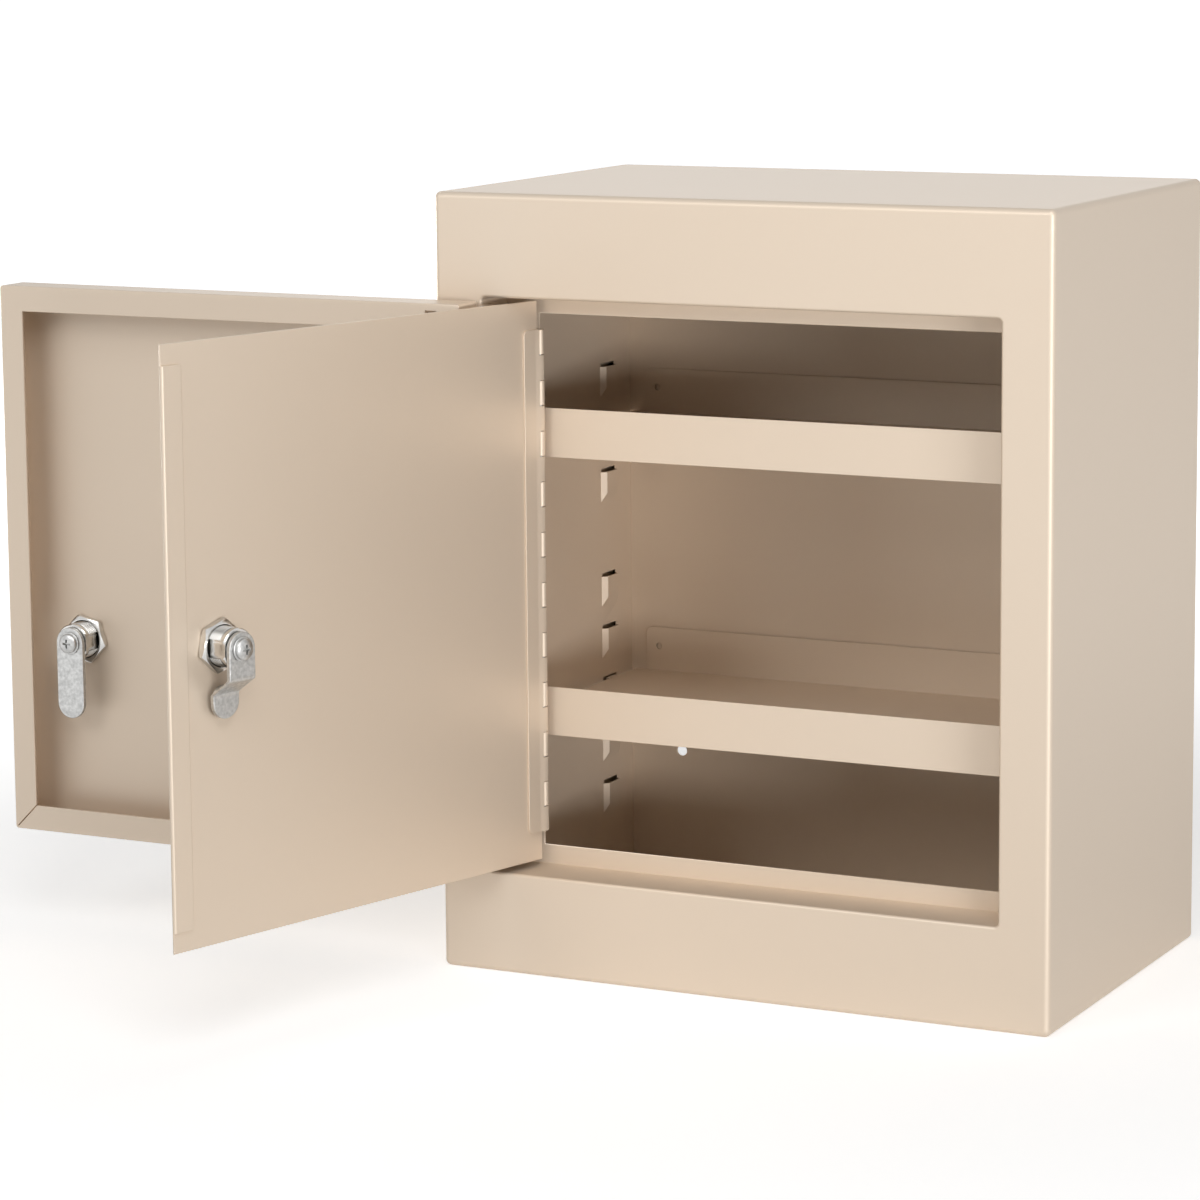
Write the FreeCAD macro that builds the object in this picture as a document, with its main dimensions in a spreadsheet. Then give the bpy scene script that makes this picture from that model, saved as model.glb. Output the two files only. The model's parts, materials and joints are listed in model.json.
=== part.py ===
import FreeCAD, Part
import os
import re

# A steel medicine cabinet with two locked doors, one behind the other.
# Millimetres, X to the right, Y from the front to the wall, Z up, origin at the middle of the base.
# Both doors are drawn shut, then swung open about their hinge pins, as the cabinet is stored.

SIZES = [
    ("width", 316.0, "cabinet from side to side"),
    ("depth", 203.0, "cabinet from front to wall"),
    ("height", 381.0, "cabinet from base to top"),
    ("sheet", 1.2, "steel of the cabinet and the doors"),
    ("edge_bend", 3.0, "outside radius of the cabinet's edges"),
    ("rim", 6.0, "turned edge of the top and the base"),
    ("stile", 25.4, "front beside the opening"),
    ("header", 50.0, "front above the opening"),
    ("sill", 50.0, "front below the opening"),
    ("opening_bend", 1.5, "radius where the front turns into the opening"),
    ("opening_corner", 2.0, "radius in the corners of the opening"),
    ("recess", 27.4, "front to the door stop"),
    ("stop_lip", 9.5, "door stop at the top, the base and the lock side"),
    ("hinge_stop", 17.0, "door stop that carries the inner hinge"),
    ("wall_hole", 2.8, "radius of a wall screw's hole"),
    ("wall_hole_side", 34.0, "cabinet's side to a wall screw"),
    ("wall_hole_end", 72.0, "cabinet's end to a wall screw"),
    ("liner", 0.9, "steel of the side liners"),
    ("liner_gap", 3.0, "cabinet's side to its liner"),
    ("pocket_first", 58.6, "base to the top of the lowest shelf pocket"),
    ("pocket_pitch", 27.5, "one shelf pocket to the next"),
    ("pocket_low_count", 5, "pockets in the lower run"),
    ("pocket_high_start", 6, "pitches from the lowest pocket to the upper run"),
    ("pocket_high_count", 3, "pockets in the upper run"),
    ("pocket_wide", 17.0, "width of a pocket where it leaves the liner"),
    ("pocket_face", 12.0, "width of a pocket's flat face"),
    ("pocket_tall", 16.0, "height of a pocket"),
    ("pocket_foot", 5.0, "sloping foot of a pocket"),
    ("pocket_rise", 2.6, "liner to a pocket's flat face"),
    ("pocket_slit", 1.6, "slit over a pocket"),
    ("column_front", 22.0, "shelf's front to the front pockets"),
    ("column_rear", 28.0, "cabinet's back to the rear pockets"),
    ("shelf_sheet", 1.0, "steel of the shelves"),
    ("shelf_lip", 24.0, "upstand at the shelf's front and back"),
    ("shelf_setback", 2.0, "door stop to the shelf"),
    ("shelf_play", 0.6, "shelf to what stands beside it"),
    ("shelf_notch", 6.0, "shelf's end to the back upstand"),
    ("shelf_corner", 4.0, "radius of the back upstand's corners"),
    ("shelf_hole", 1.7, "radius of the back upstand's holes"),
    ("shelf_hole_end", 13.5, "shelf's end to a hole"),
    ("shelf_hole_rise", 14.0, "shelf to a hole"),
    ("shelf_low_slot", 2, "pitches from the lowest pocket to the lower shelf"),
    ("shelf_high_slot", 7, "pitches from the lowest pocket to the upper shelf"),
    ("ear_wide", 9.0, "width of a shelf's ear"),
    ("ear_drop", 8.0, "depth of a shelf's ear in its pocket"),
    ("ear_play", 0.2, "shelf's ear to the side liner"),
    ("door_gap", 1.6, "outer door to the opening, lock side"),
    ("hinge_gap", 2.2, "outer door to the opening, hinge side"),
    ("door_end_gap", 1.5, "outer door to the opening, top and base"),
    ("pan_depth", 19.4, "thickness of the outer door"),
    ("pan_flange", 12.7, "turned-in flange of the outer door"),
    ("pan_bend", 1.5, "outside radius of the outer door's edges"),
    ("pan_slit", 0.5, "open mitre of the outer door's flanges"),
    ("relief", 5.5, "notch beside the hinge flange"),
    ("relief_edge", 3.5, "door's end to the notch"),
    ("outer_open", 180.0, "degrees that the outer door stands open"),
    ("inner_gap", 1.8, "inner door to the opening, lock side"),
    ("inner_end_gap", 3.0, "inner door to the opening, top and base"),
    ("stop_play", 0.3, "inner door to the door stop"),
    ("hem", 11.5, "folded hem on the inner door's free edge"),
    ("hem_end", 9.5, "inner door's end to the hem"),
    ("hem_corner", 1.0, "cut corner of the hem"),
    ("hem_fold", 1.0, "radius of the hem's fold"),
    ("inner_open", 105.5, "degrees that the inner door stands open"),
    ("leaf", 0.9, "steel of the hinges"),
    ("leaf_corner", 2.5, "radius of a hinge leaf's corners"),
    ("knuckle", 2.2, "radius of a hinge knuckle"),
    ("knuckle_play", 0.3, "one knuckle to the next"),
    ("leaf_play", 0.25, "hinge leaf to the other leaf's knuckles"),
    ("pin", 1.2, "radius of a hinge pin"),
    ("pin_play", 0.05, "hinge pin to its knuckle"),
    ("pin_stand", 1.5, "outer hinge pin to the cabinet's front"),
    ("outer_leaf", 14.5, "width of the outer hinge's leaves"),
    ("outer_hinge_end", 2.5, "outer door's end to its hinge"),
    ("outer_pairs", 11, "pairs of knuckles on the outer hinge"),
    ("inner_leaf", 12.5, "width of the inner hinge's leaves"),
    ("inner_hinge_end", 14.0, "inner door's end to its hinge"),
    ("inner_pairs", 10, "pairs of knuckles on the inner hinge"),
    ("inner_pin_gap", 1.1, "door stop's edge to the inner hinge pin"),
    ("inner_edge_gap", 2.5, "inner hinge pin to the inner door's edge"),
    ("outer_lock_inset", 34.5, "outer door's free edge to its lock"),
    ("outer_lock_rise", 149.5, "base to the outer lock"),
    ("inner_lock_inset", 30.3, "inner door's free edge to its lock"),
    ("inner_lock_rise", 190.0, "base to the inner lock"),
    ("face_radius", 11.2, "lock's round face"),
    ("face_thick", 2.0, "thickness of the lock's face"),
    ("face_bevel", 0.9, "rounding of the lock's face"),
    ("barrel", 9.3, "radius of the lock's threaded barrel"),
    ("barrel_flat", 8.2, "lock's middle to the flats of its barrel"),
    ("barrel_play", 0.15, "barrel to its hole in the door"),
    ("nut_radius", 12.7, "lock nut, middle to corner"),
    ("nut_thick", 4.0, "thickness of the lock nut"),
    ("outer_nut_turn", -13.0, "degrees that the outer lock nut was left at"),
    ("inner_nut_turn", 18.0, "degrees that the inner lock nut was left at"),
    ("nut_play", 0.05, "lock nut to the barrel"),
    ("plug", 5.8, "radius of the lock's turning plug"),
    ("plug_play", 0.06, "plug to the barrel"),
    ("keyway_wide", 1.8, "width of the keyway"),
    ("keyway_tall", 7.5, "height of the keyway"),
    ("keyway_deep", 12.0, "depth of the keyway"),
    ("wafer_count", 4, "wafers in a lock"),
    ("wafer_first", 3.0, "lock's face to its first wafer"),
    ("wafer_pitch", 2.2, "one wafer to the next"),
    ("wafer_thick", 1.0, "thickness of a wafer"),
    ("wafer_wide", 4.8, "width of a wafer"),
    ("wafer_tall", 10.4, "height of a wafer"),
    ("wafer_play", 0.05, "wafer to its slot in the plug"),
    ("wafer_window_wide", 2.4, "width of a wafer's window for the key"),
    ("wafer_window_tall", 6.4, "height of a wafer's window for the key"),
    ("lock_reach", 15.4, "door's front to the lock's cam"),
    ("drive", 8.0, "square end of the plug"),
    ("drive_play", 0.1, "square end to the cam"),
    ("cam_thick", 2.3, "steel of the cams"),
    ("cam_wide", 15.5, "width of the cams"),
    ("cam_play", 0.4, "cam to what it turns beside"),
    ("outer_cam_reach", 38.5, "lock's middle to the outer cam's tip"),
    ("inner_cam_reach", 33.0, "lock's middle to the inner cam's tip"),
    ("crank_start", 14.0, "lock's middle to the inner cam's bend"),
    ("crank_run", 7.6, "length of the inner cam's bend"),
    ("slot_low", 21.0, "outer lock to the low end of its cam's slot"),
    ("slot_high", 8.6, "outer lock to the high end of its cam's slot"),
    ("washer_radius", 5.8, "cam washer"),
    ("washer_thick", 0.8, "thickness of the cam washer"),
    ("screw_head", 4.9, "radius of the cam screw's head"),
    ("screw_crown", 2.2, "height of the cam screw's head"),
    ("screw_round", 1.6, "rounding of the cam screw's head"),
    ("screw_shank", 2.0, "radius of the cam screw's shank"),
    ("screw_length", 7.0, "length of the cam screw's shank"),
    ("screw_play", 0.08, "cam screw to its hole"),
    ("cross_long", 5.2, "cross recess of the cam screw"),
    ("cross_wide", 1.0, "width of the cross recess"),
    ("cross_deep", 1.3, "depth of the cross recess"),
]

# Edges that lie closer than this are taken to be in the same plane.
NEAR = 0.01
UP = FreeCAD.Vector(0, 0, 1)
TURNS = {
    "z": FreeCAD.Rotation(),
    "y": FreeCAD.Rotation(FreeCAD.Vector(1, 0, 0), -90),
    "lying": FreeCAD.Rotation(FreeCAD.Vector(1, 0, 0), 90),
    "mitre": FreeCAD.Rotation(FreeCAD.Vector(0, 1, 0), 45),
    "left_wall": FreeCAD.Rotation(UP, -90),
    "right_wall": FreeCAD.Rotation(UP, 90),
}

# Planes that several pieces share, as expressions of the sizes.
FRONT = "-depth / 2"
BACK = "depth / 2"
LEFT = "-width / 2"
RIGHT = "width / 2"
OPEN_LEFT = "-width / 2 + stile"
OPEN_RIGHT = "width / 2 - stile"
OPEN_TOP = "height - header"
STOP = "-depth / 2 + recess"
DOOR_LEFT = f"{OPEN_LEFT} + hinge_gap"
DOOR_RIGHT = f"{OPEN_RIGHT} - door_gap"
DOOR_LOW = "sill + door_end_gap"
DOOR_HIGH = f"{OPEN_TOP} - door_end_gap"
PAN_BACK = f"{FRONT} + pan_depth"
OUTER_PIN = (f"{OPEN_LEFT} + hinge_gap / 2", f"{FRONT} - pin_stand")
INNER_PIN = (f"{OPEN_LEFT} + hinge_stop + inner_pin_gap", f"{STOP} - knuckle")
INNER_FRONT = f"{STOP} - stop_play - sheet * 2"
INNER_LEFT = f"{INNER_PIN[0]} + inner_edge_gap"
INNER_RIGHT = f"{OPEN_RIGHT} - inner_gap"
INNER_LOW = "sill + inner_end_gap"
INNER_HIGH = f"{OPEN_TOP} - inner_end_gap"
SHELF_FRONT = f"{STOP} + sheet + shelf_setback"
SHELF_BACK = f"{BACK} - sheet - shelf_play"
LINER_REACH = "sheet + liner_gap + liner"
SHELF_HALF = f"width / 2 - ({LINER_REACH}) - pocket_rise - shelf_play"
COLUMNS = {"front": f"{SHELF_FRONT} + column_front", "rear": f"{BACK} - column_rear"}
OUTER_LOCK = (f"{DOOR_RIGHT} - outer_lock_inset", "outer_lock_rise")
INNER_LOCK = (f"{INNER_RIGHT} - inner_lock_inset", "inner_lock_rise")

doc = FreeCAD.newDocument("medicine_cabinet")
sheet = doc.addObject("Spreadsheet::Sheet", "Sizes")
for row, (alias, number, note) in enumerate(SIZES, 1):
    sheet.set(f"A{row}", note)
    sheet.set(f"B{row}", str(number))
    sheet.setAlias(f"B{row}", alias)
doc.recompute()

WORDS = {alias for alias, number, note in SIZES}


def bound(text):
    """The expression with every size's name pointed at the sheet."""
    return re.sub(r"[a-z_]+", lambda word: f"Sizes.{word[0]}" if word[0] in WORDS else word[0], text)


def piece(label):
    """An empty body, whose label names its file."""
    body = doc.addObject("PartDesign::Body", label)
    body.Label = label
    return body


def feature(body, kind, name, turn, place, sizes):
    """One feature of a body, with its place and its sizes bound to the sheet."""
    made = body.newObject(f"PartDesign::{kind}", f"{body.Name}_{name}")
    if place:
        made.Placement = FreeCAD.Placement(FreeCAD.Vector(), turn)
        for axis, text in zip("xyz", place):
            made.setExpression(f"Placement.Base.{axis}", bound(text))
    for size, text in sizes.items():
        made.setExpression(size, bound(text))
    return made


def block(body, name, x, y, z, cut=False):
    """A box between two limits on each axis, added or cut away."""
    spans = [f"({high}) - ({low})" for low, high in (x, y, z)]
    kind = "SubtractiveBox" if cut else "AdditiveBox"
    sizes = dict(zip(("Length", "Width", "Height"), spans))
    return feature(body, kind, name, TURNS["z"], (x[0], y[0], z[0]), sizes)


def about(middle, span):
    """The two limits of a span about its middle."""
    return f"{middle} - ({span}) / 2", f"{middle} + ({span}) / 2"


def rod(body, name, axis, start, length, radius, cut=False):
    """A round rod or hole along Y or Z."""
    kind = "SubtractiveCylinder" if cut else "AdditiveCylinder"
    return feature(body, kind, name, TURNS[axis], start, {"Radius": radius, "Height": length})


def wedge(body, name, turn, place, low_x, high_x, rise, low_z, high_z, cut=False):
    """A solid that goes from one rectangle to another, as high as its rise along its own Y."""
    kind = "SubtractiveWedge" if cut else "AdditiveWedge"
    sizes = {"Xmin": low_x[0], "Xmax": low_x[1], "X2min": high_x[0], "X2max": high_x[1], "Ymin": "0",
             "Ymax": rise, "Zmin": low_z[0], "Zmax": low_z[1], "Z2min": high_z[0], "Z2max": high_z[1]}
    return feature(body, kind, name, turn, place, sizes)


def repeat(body, name, originals, axis, length, count):
    """Copies of some features, spread along an axis of the body."""
    made = feature(body, "LinearPattern", name, None, None, {})
    made.Originals = originals
    made.Direction = (next(item for item in body.Origin.OriginFeatures if item.Role == axis), [""])
    made.setExpression("Length", bound(length))
    made.setExpression("Occurrences", bound(count))
    body.Tip = made
    return made


def dress(body, kind, name, size, radius, picks):
    """A fillet or chamfer on the edges of a body that a test of their boxes picks."""
    doc.recompute()
    base = body.Tip
    whole = base.Shape.BoundBox
    edges = [f"Edge{i}" for i, edge in enumerate(base.Shape.Edges, 1) if picks(edge.BoundBox, whole)]
    made = feature(body, kind, name, None, None, {})
    made.Base = (base, edges)
    made.setExpression(size, bound(radius))
    body.Tip = made


def bend(body, name, radius, picks):
    dress(body, "Fillet", name, "Radius", radius, picks)


def near(first, second):
    return abs(first - second) < NEAR


def is_upright(edge):
    return near(edge.XLength, 0) and near(edge.YLength, 0)


def is_fore_and_aft(edge):
    return near(edge.XLength, 0) and near(edge.ZLength, 0)


def pan(label, low, high, inside, outer):
    """The top or the base: a flat sheet with its edges turned towards the cabinet's middle."""
    body = piece(label)
    block(body, "sheet", (LEFT, RIGHT), (FRONT, BACK), (low, high))

    def on_edge(edge, whole):
        front = near(edge.YMax, whole.YMin)
        side = near(edge.XMax, whole.XMin) or near(edge.XMin, whole.XMax)
        face = near(edge.ZMin, outer(whole)) and near(edge.ZMax, outer(whole))
        return (face and (front or side)) or (front and side and is_upright(edge))

    bend(body, "edges", "edge_bend", on_edge)
    block(body, "hollow", (f"{LEFT} + sheet", f"{RIGHT} - sheet"),
          (f"{FRONT} + edge_bend", f"{BACK} - sheet"), inside, cut=True)
    block(body, "front_hollow", (f"{LEFT} + edge_bend", f"{RIGHT} - edge_bend"),
          (f"{FRONT} + sheet", f"{FRONT} + edge_bend"), inside, cut=True)


def side(label, outside, hand):
    """A side sheet with the bend that meets the front."""
    body = piece(label)
    reach = f"{outside} + {hand} * (edge_bend + sheet)"
    inside = f"{outside} + {hand} * sheet"
    across = (outside, reach) if hand > 0 else (reach, outside)
    hollow = (inside, reach) if hand > 0 else (reach, inside)
    upright = ("rim", "height - rim")
    block(body, "sheet", across, (FRONT, BACK), upright)
    bend(body, "bend", "edge_bend", lambda edge, whole: is_upright(edge) and near(edge.YMax, whole.YMin)
         and near(edge.XMax, whole.XMin if hand > 0 else whole.XMax))
    block(body, "hollow", hollow, (f"{FRONT} + sheet", BACK), upright, cut=True)
    gauge = sheet.get("sheet")
    bend(body, "inner_bend", "edge_bend - sheet",
         lambda edge, whole: is_upright(edge) and near(edge.YMax, whole.YMin + gauge)
         and near(edge.XMax, whole.XMin + gauge if hand > 0 else whole.XMax - gauge))


def front_frame():
    """The front with its opening, the sides of the recess and the door stop, folded from one sheet."""
    body = piece("front_frame")
    reach = "edge_bend + sheet"
    slot_y = (f"{FRONT} + lock_reach - cam_play", f"{FRONT} + lock_reach + cam_thick + cam_play")
    slot_z = ("outer_lock_rise - slot_low", "outer_lock_rise + slot_high")
    block(body, "face", (f"{LEFT} + {reach}", f"{RIGHT} - ({reach})"), (FRONT, f"{FRONT} + sheet"),
          ("rim", "height - rim"))
    block(body, "jamb", (f"{OPEN_LEFT} - sheet", f"{OPEN_RIGHT} + sheet"), (FRONT, f"{STOP} + sheet"),
          ("sill - sheet", f"{OPEN_TOP} + sheet"))
    block(body, "recess", (OPEN_LEFT, OPEN_RIGHT), (FRONT, STOP), ("sill", OPEN_TOP), cut=True)
    block(body, "window", (f"{OPEN_LEFT} + hinge_stop", f"{OPEN_RIGHT} - stop_lip"),
          (STOP, f"{STOP} + sheet"), ("sill + stop_lip", f"{OPEN_TOP} - stop_lip"), cut=True)
    block(body, "cam_slot", (OPEN_RIGHT, f"{OPEN_RIGHT} + sheet"), slot_y, slot_z, cut=True)
    bend(body, "corners", "opening_corner", lambda edge, whole: is_fore_and_aft(edge)
         and near(edge.YMin, whole.YMin) and near(edge.YLength, sheet.get("recess")))

    def on_opening(edge, whole):
        inside_x = edge.XMin > whole.XMin + NEAR and edge.XMax < whole.XMax - NEAR
        inside_z = edge.ZMin > whole.ZMin + NEAR and edge.ZMax < whole.ZMax - NEAR
        return near(edge.YMax, whole.YMin) and inside_x and inside_z

    bend(body, "rim_bend", "opening_bend", on_opening)


def back_panel():
    """The back, with a hole for a wall screw near each corner."""
    body = piece("back_panel")
    inside = f"{BACK} - sheet"
    block(body, "sheet", (f"{LEFT} + sheet", f"{RIGHT} - sheet"), (inside, BACK), ("rim", "height - rim"))
    for hand, x in (("left", f"{LEFT} + wall_hole_side"), ("right", f"{RIGHT} - wall_hole_side")):
        for end, z in (("low", "wall_hole_end"), ("high", "height - wall_hole_end")):
            rod(body, f"hole_{hand}_{end}", "y", (x, inside, z), "sheet", "wall_hole", cut=True)


def liner(hand):
    """A liner that stands off one side, with columns of pockets pressed out of it for the shelves' ears."""
    body = piece(f"{hand}_liner")
    # Drawn along its wall: its own Y runs from the side to the middle, and its own X along the side.
    body.Placement = FreeCAD.Placement(FreeCAD.Vector(), TURNS[f"{hand}_wall"])
    along = "-1" if hand == "left" else "1"
    ends = [f"{along} * ({STOP} + sheet * 2)", f"{along} * ({BACK} - sheet)"]
    if hand == "left":
        ends.reverse()
    face = f"{LEFT} + {LINER_REACH}"
    web = (f"{face} - liner", face)
    foot = (f"{LEFT} + sheet", face)
    upright = ("rim", "height - rim")
    block(body, "sheet", ends, web, upright)
    block(body, "low_flange", (ends[0], f"{ends[0]} + liner"), foot, upright)
    block(body, "high_flange", (f"{ends[1]} - liner", ends[1]), foot, upright)
    runs = {
        "low": ("pocket_first", "pocket_low_count"),
        "high": ("pocket_first + pocket_pitch * pocket_high_start", "pocket_high_count"),
    }
    wide = about("0", "pocket_wide")
    narrow = about("0", "pocket_face")
    for column, middle in COLUMNS.items():
        for run, (top, count) in runs.items():
            name = f"{column}_{run}"
            corner = (f"{along} * ({middle})", f"{top} - pocket_tall")
            tops = ("pocket_tall", "pocket_tall + pocket_slit")
            pocket = wedge(body, f"{name}_pocket", TURNS["z"], (corner[0], face, corner[1]), wide, narrow,
                           "pocket_rise", ("0", tops[0]), ("pocket_foot", tops[0]))
            hollow = wedge(body, f"{name}_hollow", TURNS["z"], (corner[0], web[0], corner[1]), wide, narrow,
                           "pocket_rise", ("0", tops[1]), ("pocket_foot", tops[1]), cut=True)
            travel = f"pocket_pitch * ({count} - 1)"
            repeat(body, f"{name}_run", [pocket, hollow], "Z_Axis", travel, count)


def shelf(label, slot):
    """A shelf with an upstand at its front and back, and ears that drop into the pockets."""
    body = piece(label)
    deck = f"pocket_first + pocket_pitch * {slot}"
    top = f"{deck} + shelf_sheet"
    half = f"({SHELF_HALF})"
    upstand = f"{half} - shelf_notch"
    block(body, "deck", (f"-{half}", half), (SHELF_FRONT, SHELF_BACK), (deck, top))
    lip_z = (deck, f"{deck} + shelf_lip")
    upstand_front = f"{SHELF_BACK} - shelf_sheet"
    block(body, "lip", (f"-{half}", half), (SHELF_FRONT, f"{SHELF_FRONT} + shelf_sheet"), lip_z)
    block(body, "upstand", (f"-({upstand})", upstand), (upstand_front, SHELF_BACK), lip_z)
    bend(body, "corners", "shelf_corner", lambda edge, whole: is_fore_and_aft(edge)
         and near(edge.ZMin, whole.ZMax) and near(edge.YMax, whole.YMax))
    for hand in (-1, 1):
        hole = (f"{hand} * ({half} - shelf_hole_end)", upstand_front, f"{deck} + shelf_hole_rise")
        rod(body, f"hole_{hand + 1}", "y", hole, "shelf_sheet", "shelf_hole", cut=True)
        tip = f"{hand} * (width / 2 - ({LINER_REACH}) - ear_play)"
        bend_x = f"{tip} - {hand} * shelf_sheet"
        edge_x = f"{hand} * {half}"
        for column, middle in COLUMNS.items():
            wide = (f"{middle} - ear_wide / 2", f"{middle} + ear_wide / 2")
            ear = (edge_x, tip) if hand > 0 else (tip, edge_x)
            drop = (bend_x, tip) if hand > 0 else (tip, bend_x)
            block(body, f"ear_{column}_{hand + 1}", ear, wide, (deck, top))
            block(body, f"drop_{column}_{hand + 1}", drop, wide, (f"{deck} - ear_drop", top))


def outer_door():
    """A pan with its flanges turned in at the back, and a slot for the cam in its free edge."""
    body = piece("outer_door_panel")
    lock_x, lock_z = OUTER_LOCK
    block(body, "pan", (DOOR_LEFT, DOOR_RIGHT), (FRONT, PAN_BACK), (DOOR_LOW, DOOR_HIGH))
    bend(body, "edges", "pan_bend",
         lambda edge, whole: near(edge.YMax, whole.YMin) or is_fore_and_aft(edge))
    flange = (f"{PAN_BACK} - sheet", PAN_BACK)
    block(body, "hollow", (f"{DOOR_LEFT} + sheet", f"{DOOR_RIGHT} - sheet"), (f"{FRONT} + sheet", flange[0]),
          (f"{DOOR_LOW} + sheet", f"{DOOR_HIGH} - sheet"), cut=True)
    block(body, "mouth", (f"{DOOR_LEFT} + pan_flange", f"{DOOR_RIGHT} - pan_flange"), flange,
          (f"{DOOR_LOW} + pan_flange", f"{DOOR_HIGH} - pan_flange"), cut=True)
    notch = (f"{DOOR_LEFT} + pan_flange", f"{DOOR_LEFT} + pan_flange + relief")
    relief_low = (f"{DOOR_LOW} + relief_edge", f"{DOOR_LOW} + pan_flange")
    relief_high = (f"{DOOR_HIGH} - pan_flange", f"{DOOR_HIGH} - relief_edge")
    block(body, "relief_low", notch, flange, relief_low, cut=True)
    block(body, "relief_high", notch, flange, relief_high, cut=True)
    mitre_start = (f"{DOOR_RIGHT} - pan_flange - pan_slit / sqrt(2)", flange[0], f"{DOOR_LOW} + pan_flange")
    feature(body, "SubtractiveBox", "mitre", TURNS["mitre"], mitre_start,
            {"Length": "pan_flange * sqrt(2) - pan_bend", "Width": "sheet", "Height": "pan_slit"})
    slot_y = (f"{FRONT} + lock_reach - cam_play", flange[0])
    slot_z = (f"{lock_z} - slot_low", f"{lock_z} + slot_high")
    block(body, "cam_slot", (f"{DOOR_RIGHT} - sheet", DOOR_RIGHT), slot_y, slot_z, cut=True)
    rod(body, "lock_hole", "y", (lock_x, FRONT, lock_z), "sheet", "barrel + barrel_play", cut=True)


def inner_door():
    """A flat sheet with a hem folded back along its free edge."""
    body = piece("inner_door_panel")
    lock_x, lock_z = INNER_LOCK
    rear = f"{INNER_FRONT} + sheet"
    block(body, "sheet", (INNER_LEFT, INNER_RIGHT), (INNER_FRONT, rear), (INNER_LOW, INNER_HIGH))
    block(body, "hem", (f"{INNER_RIGHT} - hem", INNER_RIGHT), (rear, f"{rear} + sheet"),
          (f"{INNER_LOW} + hem_end", f"{INNER_HIGH} - hem_end"))
    hem_left = sheet.get("width") / 2 - sheet.get("stile") - sheet.get("inner_gap") - sheet.get("hem")
    dress(body, "Chamfer", "hem_corners", "Size", "hem_corner", lambda edge, whole: is_fore_and_aft(edge)
          and near(edge.XMin, hem_left) and near(edge.YMax, whole.YMax))
    bend(body, "fold", "hem_fold", lambda edge, whole: is_upright(edge) and near(edge.XMax, whole.XMax)
         and (near(edge.YMin, whole.YMin) or near(edge.YMax, whole.YMax)))
    rod(body, "lock_hole", "y", (lock_x, INNER_FRONT, lock_z), "sheet", "barrel + barrel_play", cut=True)


def hinge_leaf(label, plate, tab, pin_at, span, pairs, first):
    """A hinge leaf: a plate, and knuckles about the pin at every other place along it."""
    body = piece(label)
    low, high = span
    long = f"(({high}) - ({low}))"
    pitch = f"({long} / {pairs} / 2)"
    foot = f"{low} + {pitch} * {first} + knuckle_play / 2"
    knuckle_z = (foot, f"{foot} + {pitch} - knuckle_play")
    block(body, "plate", *plate, span)
    if label.startswith("inner"):
        bend(body, "corners", "leaf_corner", lambda edge, whole: is_fore_and_aft(edge)
             and near(edge.XMin, whole.XMin if label.endswith("frame_leaf") else whole.XMax))
    link = block(body, "link", *tab, knuckle_z)
    tube = rod(body, "knuckle", "z", (*pin_at, foot), f"{pitch} - knuckle_play", "knuckle")
    repeat(body, "knuckles", [link, tube], "Z_Axis", f"{pitch} * 2 * ({pairs} - 1)", pairs)
    rod(body, "bore", "z", (*pin_at, low), long, "pin + pin_play", cut=True)


def hinge_pin(label, pin_at, low, high):
    body = piece(label)
    rod(body, "wire", "z", (*pin_at, low), f"({high}) - ({low})", "pin")
    return body


def outer_hinge():
    """The outer hinge folds into the gap beside its door, with its knuckles in front."""
    low = f"{DOOR_LOW} + outer_hinge_end"
    high = f"{DOOR_HIGH} - outer_hinge_end"
    pin_y = OUTER_PIN[1]
    link_y = (f"{pin_y} + (pin + pin_play + knuckle) / 2", f"{pin_y} + knuckle + leaf_play")
    plate_y = (link_y[1], f"{link_y[1]} + outer_leaf")
    frame_x = (OPEN_LEFT, f"{OPEN_LEFT} + leaf")
    door_x = (f"{DOOR_LEFT} - leaf", DOOR_LEFT)
    span = (low, high)
    hinge_leaf("outer_hinge_frame_leaf", (frame_x, plate_y), (frame_x, link_y), OUTER_PIN, span,
               "outer_pairs", 1)
    hinge_leaf("outer_hinge_door_leaf", (door_x, plate_y), (door_x, link_y), OUTER_PIN, span,
               "outer_pairs", 0)
    return hinge_pin("outer_hinge_pin", OUTER_PIN, low, high)


def inner_hinge():
    """The inner hinge lies flat, one leaf on the door stop and one on the back of its door."""
    low = f"{INNER_LOW} + inner_hinge_end"
    high = f"{INNER_HIGH} - inner_hinge_end"
    pin_x = INNER_PIN[0]
    rear = f"{INNER_FRONT} + sheet"
    clear = "knuckle + leaf_play"
    frame_y = (f"{STOP} - leaf", STOP)
    door_y = (rear, f"{rear} + leaf")
    link_start = "(pin + pin_play + knuckle - leaf) / 2"
    frame_x = (f"{pin_x} - inner_leaf", f"{pin_x} - ({clear})")
    door_x = (f"{pin_x} + {clear}", f"{pin_x} + inner_leaf")
    frame_link = (frame_x[1], pin_x)
    door_link = (f"{pin_x} + {link_start}", door_x[0])
    span = (low, high)
    hinge_leaf("inner_hinge_frame_leaf", (frame_x, frame_y), (frame_link, frame_y), INNER_PIN, span,
               "inner_pairs", 1)
    hinge_leaf("inner_hinge_door_leaf", (door_x, door_y), (door_link, door_y), INNER_PIN, span,
               "inner_pairs", 0)
    return hinge_pin("inner_hinge_pin", INNER_PIN, low, high)


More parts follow.
